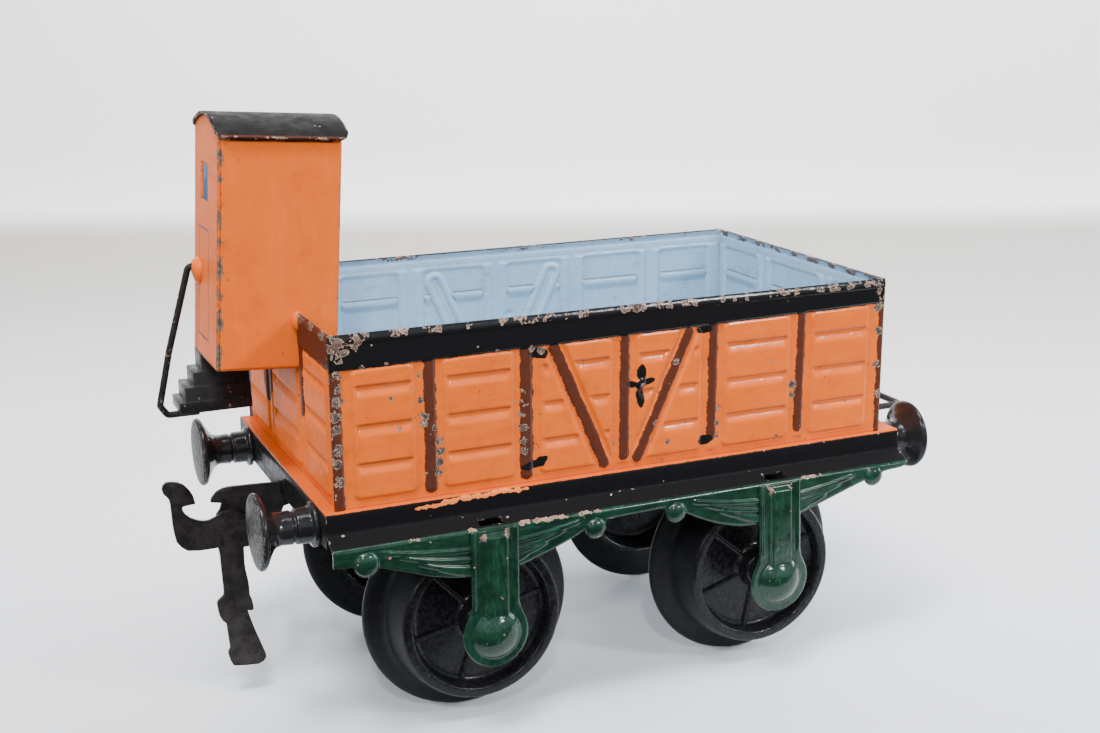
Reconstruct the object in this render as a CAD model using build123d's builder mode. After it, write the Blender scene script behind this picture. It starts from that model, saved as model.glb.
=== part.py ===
from build123d import *
import os
from math import sin, cos, tan, asin, radians, sqrt, pi, degrees, atan2

os.makedirs("parts", exist_ok=True)

# Tinplate open goods wagon with a brakeman's hut, gauge 1 (45 mm track).
# +X runs along the wagon towards the plain end, the hut stands at the -X end,
# Z = 0 is the surface the wheel flanges stand on, Y = 0 is the middle plane.

# ---------------------------------------------------------------- dimensions (mm)
SHEET = 0.5                 # tinplate thickness

# chassis pressing
CH_HALF = 57.4              # half length
CH_TOP = 45.0               # top face of the chassis
CH_EDGE = 32.1              # outer face of the sole bar
SPRING_Y = 35.6             # outer face of the spring strip
FOLD_Z = 41.2               # lower end of the upright sole-bar face
STRIP_Z = 39.5              # upper end of the upright spring strip
BEAM_BOTTOM = 38.6

# body
BODY_X0, BODY_X1 = -55.1, 53.1      # outer base faces of the two end walls
BODY_Y = 30.9                       # outer base face of the side walls
RIM_Z = 75.2
RAIL_Z = 72.0                       # joggle below the rim
RAIL_OUT = 0.5                      # how far the rail stands out
PAD = 0.4                           # height of the pressed planks
PLANKS = [(46.3, 50.9), (52.3, 57.3), (59.0, 64.1), (65.9, 71.3)]
STANCHIONS = [-38.4, -20.7, -1.8, 16.1, 34.8]
STANCHION_W = 2.2

# running gear
WHEEL_X = 28.87
FLANGE_R = 19.84
AXLE_R = 1.2
AXLE_END = 37.3
GUARD_W = 8.9
GUARD_DISC_R = 6.15
CAP_R = 4.4
GUARD_X = (-28.87, 28.3)     # middle of the guard strips at the chassis
CAP_H = 2.35
RUN_CLEAR = 0.05            # radial running clearance

# buffers
BUF_Y, BUF_Z = 24.25, 40.9
BUF_FACE_L, BUF_FACE_R = 68.2, 66.2
BUF_R = 6.7

# hut
HUT_X, HUT_Z = -69.8, 66.1          # outer bottom edge
HUT_LEAN = 3.85                     # degrees, top leans towards the body
HUT_L = 21.4
HUT_V0, HUT_V1 = -11.2, 8.7
HUT_VC = (HUT_V0 + HUT_V1) / 2
HUT_APEX = 42.9
ROOF_R = 19.7

# couplings
PLATE = 0.8
PIVOT_X, PIVOT_Z = -61.6, 32.6
RIVET_R = 0.9
LINK_X, LINK_Z = 60.6, 40.4
LINK_R = 0.7                        # link wire radius
LINK_END = 78.26                    # centre of the outer cross bar
LINK_HALF = 4.6


def finish(bp, name):
    bp.part.label = name
    export_step(bp.part, "parts/" + name + ".step")


def side_plane(s, y, x=0.0, z=0.0):
    # plane facing outwards on side s (-1 near, +1 far), local Y is up
    return Plane(origin=(x, s * y, z), x_dir=(-s, 0, 0), z_dir=(0, s, 0))


def dome_mid(r, h):
    # middle point of a spherical dome's arc, as (height, radius)
    big = (r * r + h * h) / (2 * h)
    a = asin(min(1.0, r / big)) / 2
    return h - big + big * cos(a), big * sin(a)


def end_plane(s, x):
    # plane facing outwards on end s (-1 hut end, +1 plain end), local Y is up
    return Plane(origin=(x, 0, 0), x_dir=(0, s, 0), z_dir=(s, 0, 0))


# ---------------------------------------------------------------- chassis pressing
# One sheet: top plate, upright sole bars, an outward joggle and the upright
# strips that carry the pressed leaf springs.
BOSSES = [(-51.7, 36.5, 2.3), (-9.4, 36.3, 2.0), (6.8, 36.8, 2.0), (49.6, 37.6, 2.0)]
SPRING_C = [-30.3, 28.0]

with BuildPart() as chassis_plate:
    # section of one side, drawn looking along +X (local x is -Y)
    sec = Plane(origin=(-CH_HALF, 0, 0), x_dir=(0, -1, 0), z_dir=(-1, 0, 0))
    with BuildSketch(sec) as side_section:
        with BuildLine():
            Polyline(
                (28.0, CH_TOP), (CH_EDGE, CH_TOP), (CH_EDGE, FOLD_Z), (SPRING_Y, STRIP_Z),
                (SPRING_Y, 30.2), (SPRING_Y - SHEET, 30.2), (SPRING_Y - SHEET, STRIP_Z - 0.25),
                (CH_EDGE - SHEET, FOLD_Z - 0.25), (CH_EDGE - SHEET, CH_TOP - SHEET),
                (28.0, CH_TOP - SHEET), close=True)
        make_face()
    extrude(amount=-2 * CH_HALF)
    # lower outline: springs hang below a straight strip
    with BuildSketch(side_plane(-1, 34.0)) as lower_cut:
        with BuildLine():
            l0 = Polyline((-60, 36.7), (-53.5, 36.3), (-49.6, 35.6))
            a0 = ThreePointArc(l0 @ 1, (-32.0, 31.0), (-13.2, 35.4))
            l1 = Polyline(a0 @ 1, (-9.4, 36.6), (-7.6, 37.6), (4.6, 38.0), (6.8, 37.4), (10.8, 35.2))
            a1 = ThreePointArc(l1 @ 1, (26.5, 31.3), (45.2, 36.2))
            l2 = Polyline(a1 @ 1, (49.6, 37.5), (52.5, 38.3), (60, 38.5), (60, 28), (-60, 28), (-60, 36.7))
        make_face()
    extrude(amount=4, mode=Mode.SUBTRACT)
    # spring hangers: rounded ears with a ball
    for bx, bz, br in BOSSES:
        with BuildSketch(side_plane(-1, SPRING_Y - SHEET)):
            with Locations((bx, bz)):
                Circle(br)
        extrude(amount=SHEET)
        with BuildSketch(side_plane(-1, SPRING_Y, bx, bz)):
            Circle(br * 0.8)
        extrude(amount=0.8, taper=35)
    # pressed leaves
    for cx, depth in ((SPRING_C[0], 4.2), (SPRING_C[1], 3.9)):
        for half, z_end, sag in ((17.0, 37.6, 2.3), (15.0, 36.5, 3.2), (11.5, 34.9, 2.9)):
            with BuildSketch(side_plane(-1, SPRING_Y)):
                with BuildLine():
                    top = ThreePointArc((cx - half, z_end), (cx, z_end - sag), (cx + half, z_end))
                    r = Line(top @ 1, (cx + half, z_end - 0.7))
                    bot = ThreePointArc(r @ 1, (cx, z_end - sag - 0.7), (cx - half, z_end - 0.7))
                    Line(bot @ 1, top @ 0)
                make_face()
                # room for the axle guard strip
                wx = GUARD_X[cx > 0]
                with Locations((wx, 35.0)):
                    Rectangle(GUARD_W + 1.0, 14, mode=Mode.SUBTRACT)
            extrude(amount=0.3)
    # slots above the axle guards, through the joggle
    for wx in GUARD_X:
        with BuildSketch(side_plane(-1, 31.0)):
            with Locations((wx, 40.35)):
                Rectangle(4.4, 1.1)
        extrude(amount=6, mode=Mode.SUBTRACT)
    mirror(about=Plane.XZ)
    with BuildSketch(Plane.XY.offset(CH_TOP - SHEET)):
        Rectangle(2 * CH_HALF, 57.0)
    extrude(amount=SHEET)
finish(chassis_plate, "chassis_plate")

# ---------------------------------------------------------------- buffer beams
with BuildPart() as buffer_beam_left:
    with BuildSketch(end_plane(-1, -CH_HALF + SHEET)):
        with Locations((0, (BEAM_BOTTOM + CH_TOP - SHEET) / 2)):
            Rectangle(2 * (CH_EDGE - SHEET), CH_TOP - SHEET - BEAM_BOTTOM)
        with Locations((-BUF_Y, BUF_Z), (BUF_Y, BUF_Z)):
            Circle(1.5, mode=Mode.SUBTRACT)
        # slot for the coupling plate
        with Locations((-PLATE / 2, BEAM_BOTTOM + 1.2)):
            Rectangle(PLATE, 2.4, mode=Mode.SUBTRACT)
    extrude(amount=SHEET)
finish(buffer_beam_left, "buffer_beam_left")

with BuildPart() as buffer_beam_right:
    with BuildSketch(end_plane(1, CH_HALF - SHEET)):
        with Locations((0, (BEAM_BOTTOM + CH_TOP - SHEET) / 2)):
            Rectangle(2 * (CH_EDGE - SHEET), CH_TOP - SHEET - BEAM_BOTTOM)
        with Locations((-BUF_Y, BUF_Z), (BUF_Y, BUF_Z)):
            Circle(1.5, mode=Mode.SUBTRACT)
    extrude(amount=SHEET)
finish(buffer_beam_right, "buffer_beam_right")


# ---------------------------------------------------------------- axle guards and caps
def axle_guard(s, wx):
    # seen from outside, the sketch's x runs along +X on the near side only
    off = (GUARD_X[wx > 0] - wx) * (-s)
    with BuildPart() as guard:
        with BuildSketch(side_plane(s, SPRING_Y, wx, 0)):
            with BuildLine():
                Polyline((off - GUARD_W / 2, 39.2), (off + GUARD_W / 2, 39.2), (GUARD_W / 2, FLANGE_R),
                         (-GUARD_W / 2, FLANGE_R), close=True)
            make_face()
            with Locations((0, FLANGE_R)):
                Circle(GUARD_DISC_R)
                Circle(AXLE_R + RUN_CLEAR, mode=Mode.SUBTRACT)
        extrude(amount=SHEET)
        # raised rib down the middle of the strip
        with BuildSketch(side_plane(s, SPRING_Y + SHEET, wx, 0)):
            with Locations((off * 0.6, (38.6 + FLANGE_R + CAP_R) / 2)):
                Rectangle(3.8, 38.6 - FLANGE_R - CAP_R)
        extrude(amount=0.55, taper=20)
    return guard


def axle_cap(s, wx):
    # hollow pressed cap over the axle end
    pl = Plane(origin=(wx, s * (SPRING_Y + SHEET), FLANGE_R), x_dir=(0, s, 0), z_dir=(1, 0, 0))
    with BuildPart() as cap:
        with BuildSketch(pl):
            with BuildLine():
                o = ThreePointArc((0, CAP_R), dome_mid(CAP_R, CAP_H), (CAP_H, 0))
                Line(o @ 1, (CAP_H - SHEET, 0))
                i = ThreePointArc((CAP_H - SHEET, 0), dome_mid(CAP_R - 0.55, CAP_H - SHEET), (0, CAP_R - 0.55))
                Line(i @ 1, o @ 0)
            make_face()
        revolve(axis=Axis((wx, s * (SPRING_Y + SHEET), FLANGE_R), (0, s, 0)))
    return cap


for s, side in ((-1, "near"), (1, "far")):
    for wx, end in ((-WHEEL_X, "left"), (WHEEL_X, "right")):
        finish(axle_guard(s, wx), "axle_guard_" + side + "_" + end)
        finish(axle_cap(s, wx), "axle_cap_" + side + "_" + end)


# ---------------------------------------------------------------- wheels and axles
def wheel(s, wx):
    pl = Plane(origin=(wx, 0, FLANGE_R), x_dir=(0, s, 0), z_dir=(1, 0, 0))
    with BuildPart() as w:
        with BuildSketch(pl):
            with BuildLine():
                Polyline(
                    (18.5, AXLE_R), (18.5, 3.6), (24.6, 3.9), (25.1, 12.4), (19.8, 13.2),
                    (19.5, 13.6), (19.5, 19.0), (19.9, 19.6), (20.55, 19.84), (21.2, 19.6),
                    (21.7, 19.0), (22.3, 16.9), (23.0, 16.2), (29.0, 15.1), (29.57, 14.6),
                    (29.57, 13.3), (27.6, 12.7), (27.0, 4.2), (30.2, 3.5), (30.2, AXLE_R),
                    close=True)
            make_face()
        revolve(axis=Axis((wx, 0, FLANGE_R), (0, s, 0)))
        # thin raised spokes on the dished face
        with BuildSketch(Plane(origin=(wx, s * 26.6, FLANGE_R), x_dir=(-s, 0, 0), z_dir=(0, s, 0))):
            with PolarLocations(8.1, 6, start_angle=20):
                Rectangle(9.6, 0.9)
        extrude(amount=2.0)
    return w


def axle(wx):
    with BuildPart() as a:
        with BuildSketch(Plane(origin=(wx, -AXLE_END, FLANGE_R), x_dir=(1, 0, 0), z_dir=(0, 1, 0))):
            Circle(AXLE_R)
        extrude(amount=2 * AXLE_END)
        chamfer(a.edges().filter_by(GeomType.CIRCLE), 0.25)
    return a


for wx, end in ((-WHEEL_X, "left"), (WHEEL_X, "right")):
    finish(axle(wx), "axle_" + end)
    for s, side in ((-1, "near"), (1, "far")):
        finish(wheel(s, wx), "wheel_" + side + "_" + end)


# ---------------------------------------------------------------- buffers
def buffer(e, s, face):
    # turned buffer with its spigot riveted through the beam, axis along X
    y = s * BUF_Y
    pl = Plane(origin=(e * CH_HALF, y, BUF_Z), x_dir=(e, 0, 0), z_dir=(0, 1, 0))
    L = face - CH_HALF
    with BuildPart() as b:
        with BuildSketch(pl):
            with BuildLine():
                p = Polyline(
                    (-1.4, 0), (-1.4, 1.6), (-1.1, 2.2), (-SHEET, 2.2), (-SHEET, 1.5), (0, 1.5),
                    (0, 4.0), (0.8, 4.0), (1.0, 3.1), (3.5, 3.1), (3.7, 2.75), (4.0, 2.75), (4.2, 2.95),
                    (L - 4.2, 2.9), (L - 3.0, 3.3), (L - 1.7, 5.4), (L - 1.1, 6.5), (L - 0.85, BUF_R), (L - 0.35, BUF_R))
                mh, mr = dome_mid(BUF_R, 0.35)
                f = ThreePointArc(p @ 1, (L - 0.35 + mh, mr), (L, 0))
                Line(f @ 1, p @ 0)
            make_face()
        revolve(axis=Axis((0, y, BUF_Z), (e, 0, 0)))
    return b


for e, end, face in ((-1, "left", BUF_FACE_L), (1, "right", BUF_FACE_R)):
    for s, side in ((-1, "near"), (1, "far")):
        finish(buffer(e, s, face), "buffer_" + side + "_" + end)


# ---------------------------------------------------------------- body walls
def plank_sketch(bays, diagonals, shrink):
    # pressed plank fields, cut back around the diagonal braces
    for x0, x1 in bays:
        for z0, z1 in PLANKS:
            w, h = x1 - x0 - 2 * shrink, z1 - z0 - 2 * shrink
            if h > 0.3:
                with Locations(((x0 + x1) / 2, (z0 + z1) / 2)):
                    Rectangle(w, h)
    for (xa, za), (xb, zb) in diagonals:
        ang = degrees(atan2(zb - za, xb - xa))
        with Locations(Location(((xa + xb) / 2, (za + zb) / 2), ang)):
            Rectangle(30, 4.6 + 2 * shrink, mode=Mode.SUBTRACT)


DIAGONALS = [((-15.3, 69.0), (-5.7, 46.8)), ((11.2, 69.0), (0.9, 46.8))]
SIDE_BAYS = [(-52.2, -40.8), (-36.2, -22.8), (-18.4, -3.6), (0.2, 14.0), (18.2, 32.8), (36.9, 50.2)]


def side_wall(s):
    m = 1 if s < 0 else -1      # the far wall is the mirror image of the near one
    bays = [tuple(sorted((m * a, m * b))) for a, b in SIDE_BAYS]
    diags = [((m * a, b), (m * c, d)) for (a, b), (c, d) in DIAGONALS]
    with BuildPart() as wall:
        # section with the joggled rail and its hem
        sec = Plane(origin=(BODY_X0, 0, 0), x_dir=(0, s, 0), z_dir=(s, 0, 0))
        with BuildSketch(sec):
            with BuildLine():
                Polyline(
                    (BODY_Y, CH_TOP), (BODY_Y, RAIL_Z - 0.2), (BODY_Y + RAIL_OUT, RAIL_Z + 0.3),
                    (BODY_Y + RAIL_OUT, RIM_Z), (BODY_Y - 0.4, RIM_Z), (BODY_Y - 0.4, RIM_Z - 0.8),
                    (BODY_Y, RIM_Z - 0.8), (BODY_Y, RAIL_Z + 0.5), (BODY_Y - SHEET, RAIL_Z),
                    (BODY_Y - SHEET, CH_TOP), close=True)
            make_face()
        extrude(amount=s * (BODY_X1 - BODY_X0))
        # planks and stanchions pressed outwards, with their hollows inside
        with BuildSketch(side_plane(s, BODY_Y)):
            plank_sketch(bays, diags, 0.0)
        extrude(amount=PAD)
        with BuildSketch(side_plane(s, BODY_Y - SHEET)):
            plank_sketch(bays, diags, 0.6)
        extrude(amount=0.4, mode=Mode.SUBTRACT)
        with BuildSketch(side_plane(s, BODY_Y)):
            for x in STANCHIONS:
                with Locations((m * x, (46.0 + RAIL_Z) / 2)):
                    Rectangle(STANCHION_W, RAIL_Z - 46.0)
            for (xa, za), (xb, zb) in diags:
                ang = degrees(atan2(zb - za, xb - xa))
                with Locations(Location(((xa + xb) / 2, (za + zb) / 2), ang)):
                    Rectangle(24.6, 2.0)
        extrude(amount=PAD, taper=20)
        # corner posts close the ends of the wall
        with BuildSketch(Plane.XY.offset(CH_TOP)):
            for x0, x1 in ((BODY_X0 - RAIL_OUT, BODY_X0 + 2.6), (BODY_X1 - 2.6, BODY_X1 + RAIL_OUT)):
                with Locations(((x0 + x1) / 2, s * (BODY_Y + 0.0))):
                    Rectangle(x1 - x0, 1.0)
        extrude(amount=RIM_Z - CH_TOP)
        if s < 0:
            # pressed boss of the door latch
            with BuildSketch(side_plane(s, BODY_Y, 1.55, 60.8)):
                Circle(1.3)
            extrude(amount=PAD + 0.35, taper=15)
    return wall


finish(side_wall(-1), "wall_near")
finish(side_wall(1), "wall_far")

END_BAYS = [(-28.6, -13.6), (-10.0, 10.0), (13.6, 28.6)]


def end_wall(e):
    xb = BODY_X0 if e < 0 else BODY_X1
    half = BODY_Y - SHEET
    with BuildPart() as wall:
        with BuildSketch(Plane(origin=(0, -half, 0), x_dir=(e, 0, 0), z_dir=(0, -e, 0))):
            x = abs(xb)
            with BuildLine():
                Polyline(
                    (x, CH_TOP), (x, RAIL_Z - 0.2), (x + RAIL_OUT, RAIL_Z + 0.3), (x + RAIL_OUT, RIM_Z),
                    (x - 0.4, RIM_Z), (x - 0.4, RIM_Z - 0.8), (x, RIM_Z - 0.8), (x, RAIL_Z + 0.5),
                    (x - SHEET, RAIL_Z), (x - SHEET, CH_TOP), close=True)
            make_face()
        extrude(amount=-e * 2 * half)
        with BuildSketch(end_plane(e, xb)):
            plank_sketch(END_BAYS, [], 0.0)
        extrude(amount=PAD, taper=30)
        with BuildSketch(end_plane(e, xb - e * SHEET)):
            plank_sketch(END_BAYS, [], 0.6)
        extrude(amount=0.4, mode=Mode.SUBTRACT)
        with BuildSketch(end_plane(e, xb)):
            with Locations((-11.8, (46.0 + RAIL_Z) / 2), (11.8, (46.0 + RAIL_Z) / 2)):
                Rectangle(STANCHION_W, RAIL_Z - 46.0)
        extrude(amount=PAD, taper=20)
        if e < 0:
            # cut-out that the hut stands in
            with BuildSketch(Plane.XY.offset(64.9)):
                with Locations((xb, HUT_VC)):
                    Rectangle(6, HUT_V1 - HUT_V0)
            extrude(amount=20, mode=Mode.SUBTRACT)
    return wall


finish(end_wall(-1), "wall_hut_end")
finish(end_wall(1), "wall_plain_end")

with BuildPart() as floor_sheet:
    with BuildSketch(Plane.XY.offset(CH_TOP)):
        with Locations(((BODY_X0 + BODY_X1) / 2, 0)):
            Rectangle(BODY_X1 - BODY_X0 - 2 * SHEET, 2 * (BODY_Y - SHEET))
    extrude(amount=0.4)
finish(floor_sheet, "floor_sheet")

# ---------------------------------------------------------------- brakeman's hut
th = radians(HUT_LEAN)
hut_u = Vector(cos(th), 0, -sin(th))
hut_w = Vector(sin(th), 0, cos(th))
hut_o = Vector(HUT_X, 0, HUT_Z)
hut_floor = Plane(origin=hut_o, x_dir=hut_u, z_dir=hut_w)      # local x = along, y = across
roof_c = HUT_APEX - ROOF_R


def hut_cross(u):
    # plane across the hut at distance u from its outer face, local x = Y, local y = up the hut
    return Plane(origin=hut_o + hut_u * u, x_dir=(0, 1, 0), z_dir=hut_u)


def gable_outline():
    # upper end follows the underside of the roof
    hw = (HUT_V1 - HUT_V0) / 2
    z_eave = roof_c + sqrt(ROOF_R ** 2 - hw ** 2)
    with BuildLine(mode=Mode.PRIVATE) as outline:
        g = Polyline((HUT_V0, z_eave), (HUT_V0, 0), (HUT_V1, 0), (HUT_V1, z_eave))
        ThreePointArc(g @ 1, (HUT_VC, HUT_APEX), g @ 0)
    return make_face(outline.edges(), mode=Mode.PRIVATE)


with BuildPart() as hut_outer_end:
    with BuildSketch(hut_cross(0)):
        add(gable_outline())
        with Locations((0.0, 31.2)):
            Rectangle(5.9, 6.6, mode=Mode.SUBTRACT)
    extrude(amount=SHEET)
finish(hut_outer_end, "hut_outer_end")

with BuildPart() as hut_wrap:
    with BuildSketch(hut_cross(SHEET)):
        add(gable_outline())
    extrude(amount=HUT_L - SHEET)
    with BuildSketch(hut_floor.offset(-1)):
        with Locations(((HUT_L - SHEET) / 2, HUT_VC)):
            Rectangle(HUT_L - SHEET, HUT_V1 - HUT_V0 - 2 * SHEET)
    extrude(amount=50, mode=Mode.SUBTRACT)
finish(hut_wrap, "hut_wrap")

with BuildPart() as hut_roof:
    with BuildSketch(hut_cross(-0.5)):
        a_in = degrees(atan2(10.7, sqrt(ROOF_R ** 2 - 10.7 ** 2)))
        ri, ro = ROOF_R, ROOF_R + 0.6
        with BuildLine():
            sa, ca = sin(radians(a_in)), cos(radians(a_in))
            i = ThreePointArc((HUT_VC - ri * sa, roof_c + ri * ca), (HUT_VC, roof_c + ri), (HUT_VC + ri * sa, roof_c + ri * ca))
            e1 = Line(i @ 1, (HUT_VC + ro * sa, roof_c + ro * ca))
            o = ThreePointArc(e1 @ 1, (HUT_VC, roof_c + ro), (HUT_VC - ro * sa, roof_c + ro * ca))
            Line(o @ 1, i @ 0)
        make_face()
    extrude(amount=HUT_L + 1.6)
    # rounded corners in plan
    corners = hut_roof.edges().filter_by(GeomType.LINE).filter_by(lambda ed: abs(ed.length - 0.6) < 0.02)
    fillet(corners, 1.6)
finish(hut_roof, "hut_roof")

# ---------------------------------------------------------------- steps below the hut
STEP_LEVELS = [(-69.85, 2.4, 66.6), (-71.5, 2.0, 62.85), (-73.2, 1.4, 60.3), (-74.4, 0.9, 57.7)]
STEP_X1, STEP_Y1, STEP_Z0 = -61.4, 8.6, 55.65

with BuildPart() as steps:
    for x0, y0, z1 in STEP_LEVELS:
        with BuildSketch(Plane.XY.offset(STEP_Z0)):
            with Locations(((x0 + STEP_X1) / 2, (y0 + STEP_Y1) / 2)):
                Rectangle(STEP_X1 - x0, STEP_Y1 - y0)
        extrude(amount=z1 - STEP_Z0)
    for x0, y0, z1 in STEP_LEVELS:
        with BuildSketch(Plane.XY.offset(STEP_Z0 - 1)):
            with Locations(((x0 + STEP_X1) / 2, (y0 + STEP_Y1) / 2)):
                Rectangle(STEP_X1 - x0 - 1.2, STEP_Y1 - y0 - 1.2)
        extrude(amount=z1 - 0.6 - STEP_Z0 + 1, mode=Mode.SUBTRACT)
    # the top follows the slope of the hut's lower edge
    split(bisect_by=hut_floor, keep=Keep.BOTTOM)
finish(steps, "steps")

# ---------------------------------------------------------------- handrail and its solder lump
RAIL_WIRE_R = 0.6
RAIL_Y = 4.0
face_x = HUT_X + (81.6 - HUT_Z) * tan(th) + 0.3

with BuildPart() as handrail:
    with BuildLine() as rail_path:
        FilletPolyline(
            (face_x, RAIL_Y, 81.6), (-70.75, RAIL_Y, 82.0), (-75.2, RAIL_Y, 66.6),
            (-77.45, RAIL_Y, 56.9), (-76.2, RAIL_Y, STEP_Z0 - RAIL_WIRE_R), (-69.0, RAIL_Y, STEP_Z0 - RAIL_WIRE_R), radius=0.9)
    with BuildSketch(Plane(origin=rail_path.line @ 0, z_dir=rail_path.line % 0)):
        Circle(RAIL_WIRE_R)
    sweep()
    # the wire starts on the slanted hut face
    split(bisect_by=Plane(origin=hut_o, x_dir=(0, 1, 0), z_dir=hut_u), keep=Keep.BOTTOM)
finish(handrail, "handrail")

with BuildPart() as solder_lump:
    with BuildSketch(Plane(origin=hut_o + hut_w * 15.2 + Vector(0, RAIL_Y, 0), x_dir=(0, 1, 0), z_dir=-hut_u)):
        Circle(2.3)
    extrude(amount=1.7, taper=30)
    add(handrail.part, mode=Mode.SUBTRACT)
finish(solder_lump, "solder_lump")

# ---------------------------------------------------------------- hook coupling, hut end
# Fixed plate with the upper prong, held in the beam and under the chassis.
SHANK = [(-62.0, 40.95), (-66.9, 41.2), (-68.15, 41.0), (-69.2, 40.5), (-70.1, 39.45), (-70.3, 38.7),
         (-68.3, 38.3), (-68.7, 37.1), (-69.4, 36.2), (-69.4, 32.0), (-68.5, 30.6), (-63.7, 30.6),
         (-63.1, 28.8), (-61.9, 28.8), (-61.2, 30.2), (-58.6, 31.6), (-56.9, 36.0), (-50.0, 37.8),
         (-50.0, 44.5), (-56.9, 44.5), (-56.9, 40.8)]
with BuildPart() as coupling_plate:
    with BuildSketch(Plane(origin=(0, 0, 0), x_dir=(1, 0, 0), z_dir=(0, -1, 0))):
        with BuildLine():
            Polyline(*SHANK, close=True)
        make_face()
        with Locations((PIVOT_X, PIVOT_Z)):
            Circle(RIVET_R, mode=Mode.SUBTRACT)
    extrude(amount=-PLATE)
    # stop lug that the hook's arm rests on
    with BuildSketch(Plane.XY.offset(28.8)):
        with Locations((-62.5, -0.1)):
            Rectangle(1.2, 1.8)
    extrude(amount=0.66)
    # flange soldered under the chassis
    with BuildSketch(Plane.XY.offset(CH_TOP - SHEET - 0.5)):
        with Locations((-53.2, PLATE + 2.2)):
            Rectangle(6.0, 4.6)
    extrude(amount=0.5)
finish(coupling_plate, "coupling_plate")

HOOK = [(-78.96, 42.7), (-78.7, 43.45), (-78.18, 43.83), (-77.64, 43.9), (-77.1, 43.86), (-76.06, 43.63),
        (-75.03, 43.03), (-74.05, 41.85), (-73.55, 40.9), (-73.2, 39.2), (-75.37, 39.0), (-75.65, 38.75),
        (-75.5, 38.2), (-75.06, 37.37), (-74.2, 36.55), (-73.0, 35.92), (-71.9, 35.6), (-70.85, 35.65),
        (-69.75, 36.05), (-69.1, 36.5), (-68.2, 37.0), (-67.1, 37.1), (-66.0, 36.8), (-65.2, 36.2),
        (-63.6, 35.3), (-61.9, 35.05), (-60.3, 34.7), (-59.3, 33.7), (-59.1, 32.4), (-59.6, 31.0), (-60.9, 30.1),
        (-62.0, 29.5), (-64.95, 29.5), (-65.0, 26.8), (-64.9, 25.1), (-64.55, 23.1), (-64.4, 21.5),
        (-64.4, 20.0), (-64.05, 19.0), (-63.85, 17.8), (-63.8, 16.85), (-64.4, 16.75), (-64.95, 16.95),
        (-64.6, 15.5), (-63.7, 12.5), (-62.7, 9.6), (-62.05, 7.65), (-62.0, 6.8), (-62.5, 6.1), (-63.5, 5.7),
        (-65.95, 5.9), (-68.2, 6.25), (-68.7, 7.3), (-69.0, 8.6), (-69.0, 9.2), (-68.6, 9.95), (-68.7, 11.0),
        (-68.85, 13.0), (-69.0, 14.9), (-69.7, 15.65), (-70.15, 16.55), (-70.35, 17.75), (-70.5, 19.0),
        (-70.35, 19.6), (-69.8, 20.05), (-69.25, 20.5), (-69.1, 21.1), (-69.15, 23.1), (-69.25, 25.9),
        (-69.4, 28.7), (-69.6, 30.1), (-73.0, 30.1), (-75.15, 30.4), (-76.2, 31.2), (-77.0, 32.3), (-77.3, 33.9),
        (-77.5, 35.8), (-77.6, 37.8), (-77.65, 39.7), (-77.8, 40.5), (-78.2, 41.2), (-78.75, 41.8)]
HOOK_Y0 = 0.1               # side clearance to the plate
with BuildPart() as hook:
    with BuildSketch(Plane(origin=(0, -HOOK_Y0, 0), x_dir=(1, 0, 0), z_dir=(0, -1, 0))):
        with BuildLine():
            Polyline(*HOOK, close=True)
        make_face()
        with Locations((PIVOT_X, PIVOT_Z)):
            Circle(RIVET_R + RUN_CLEAR, mode=Mode.SUBTRACT)
    extrude(amount=PLATE)
    print("hook centre of mass", hook.part.center(CenterOf.MASS))
finish(hook, "hook")

with BuildPart() as hook_rivet:
    with BuildSketch(Plane(origin=(PIVOT_X, -(HOOK_Y0 + PLATE + 0.05 + 0.3), PIVOT_Z), x_dir=(1, 0, 0), z_dir=(0, 1, 0))):
        Circle(1.5)
    extrude(amount=0.3)
    with BuildSketch(Plane(origin=(PIVOT_X, -(HOOK_Y0 + PLATE + 0.05), PIVOT_Z), x_dir=(1, 0, 0), z_dir=(0, 1, 0))):
        Circle(RIVET_R)
    extrude(amount=HOOK_Y0 + 2 * PLATE + 0.05)
    with BuildSketch(Plane(origin=(PIVOT_X, PLATE, PIVOT_Z), x_dir=(1, 0, 0), z_dir=(0, 1, 0))):
        Circle(1.6)
    extrude(amount=0.5, taper=25)
finish(hook_rivet, "hook_rivet")

# ---------------------------------------------------------------- link coupling, plain end
with BuildPart() as link_bracket:
    # pad on the beam
    with BuildSketch(end_plane(1, CH_HALF)):
        with Locations((0, 41.4)):
            RectangleRounded(13, 5.4, 0.6)
    extrude(amount=0.6)
    # tongue that the link lies on
    with BuildSketch(Plane.XY.offset(38.7)):
        with Locations(((CH_HALF + 64.2) / 2, 0)):
            Rectangle(64.2 - CH_HALF, 13)
    extrude(amount=LINK_Z - LINK_R - 0.02 - 38.7)
    # upright lug with the hole for the link's inner bar
    with BuildSketch(Plane(origin=(0, 0.6, 0), x_dir=(1, 0, 0), z_dir=(0, -1, 0))):
        with BuildLine():
            Polyline((CH_HALF, 39.0), (63.6, 39.0), (63.0, 42.6), (61.4, 43.4), (CH_HALF, 43.6), close=True)
        make_face()
        with Locations((LINK_X, LINK_Z)):
            Circle(LINK_R + RUN_CLEAR, mode=Mode.SUBTRACT)
    extrude(amount=1.2)
finish(link_bracket, "link_bracket")

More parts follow.
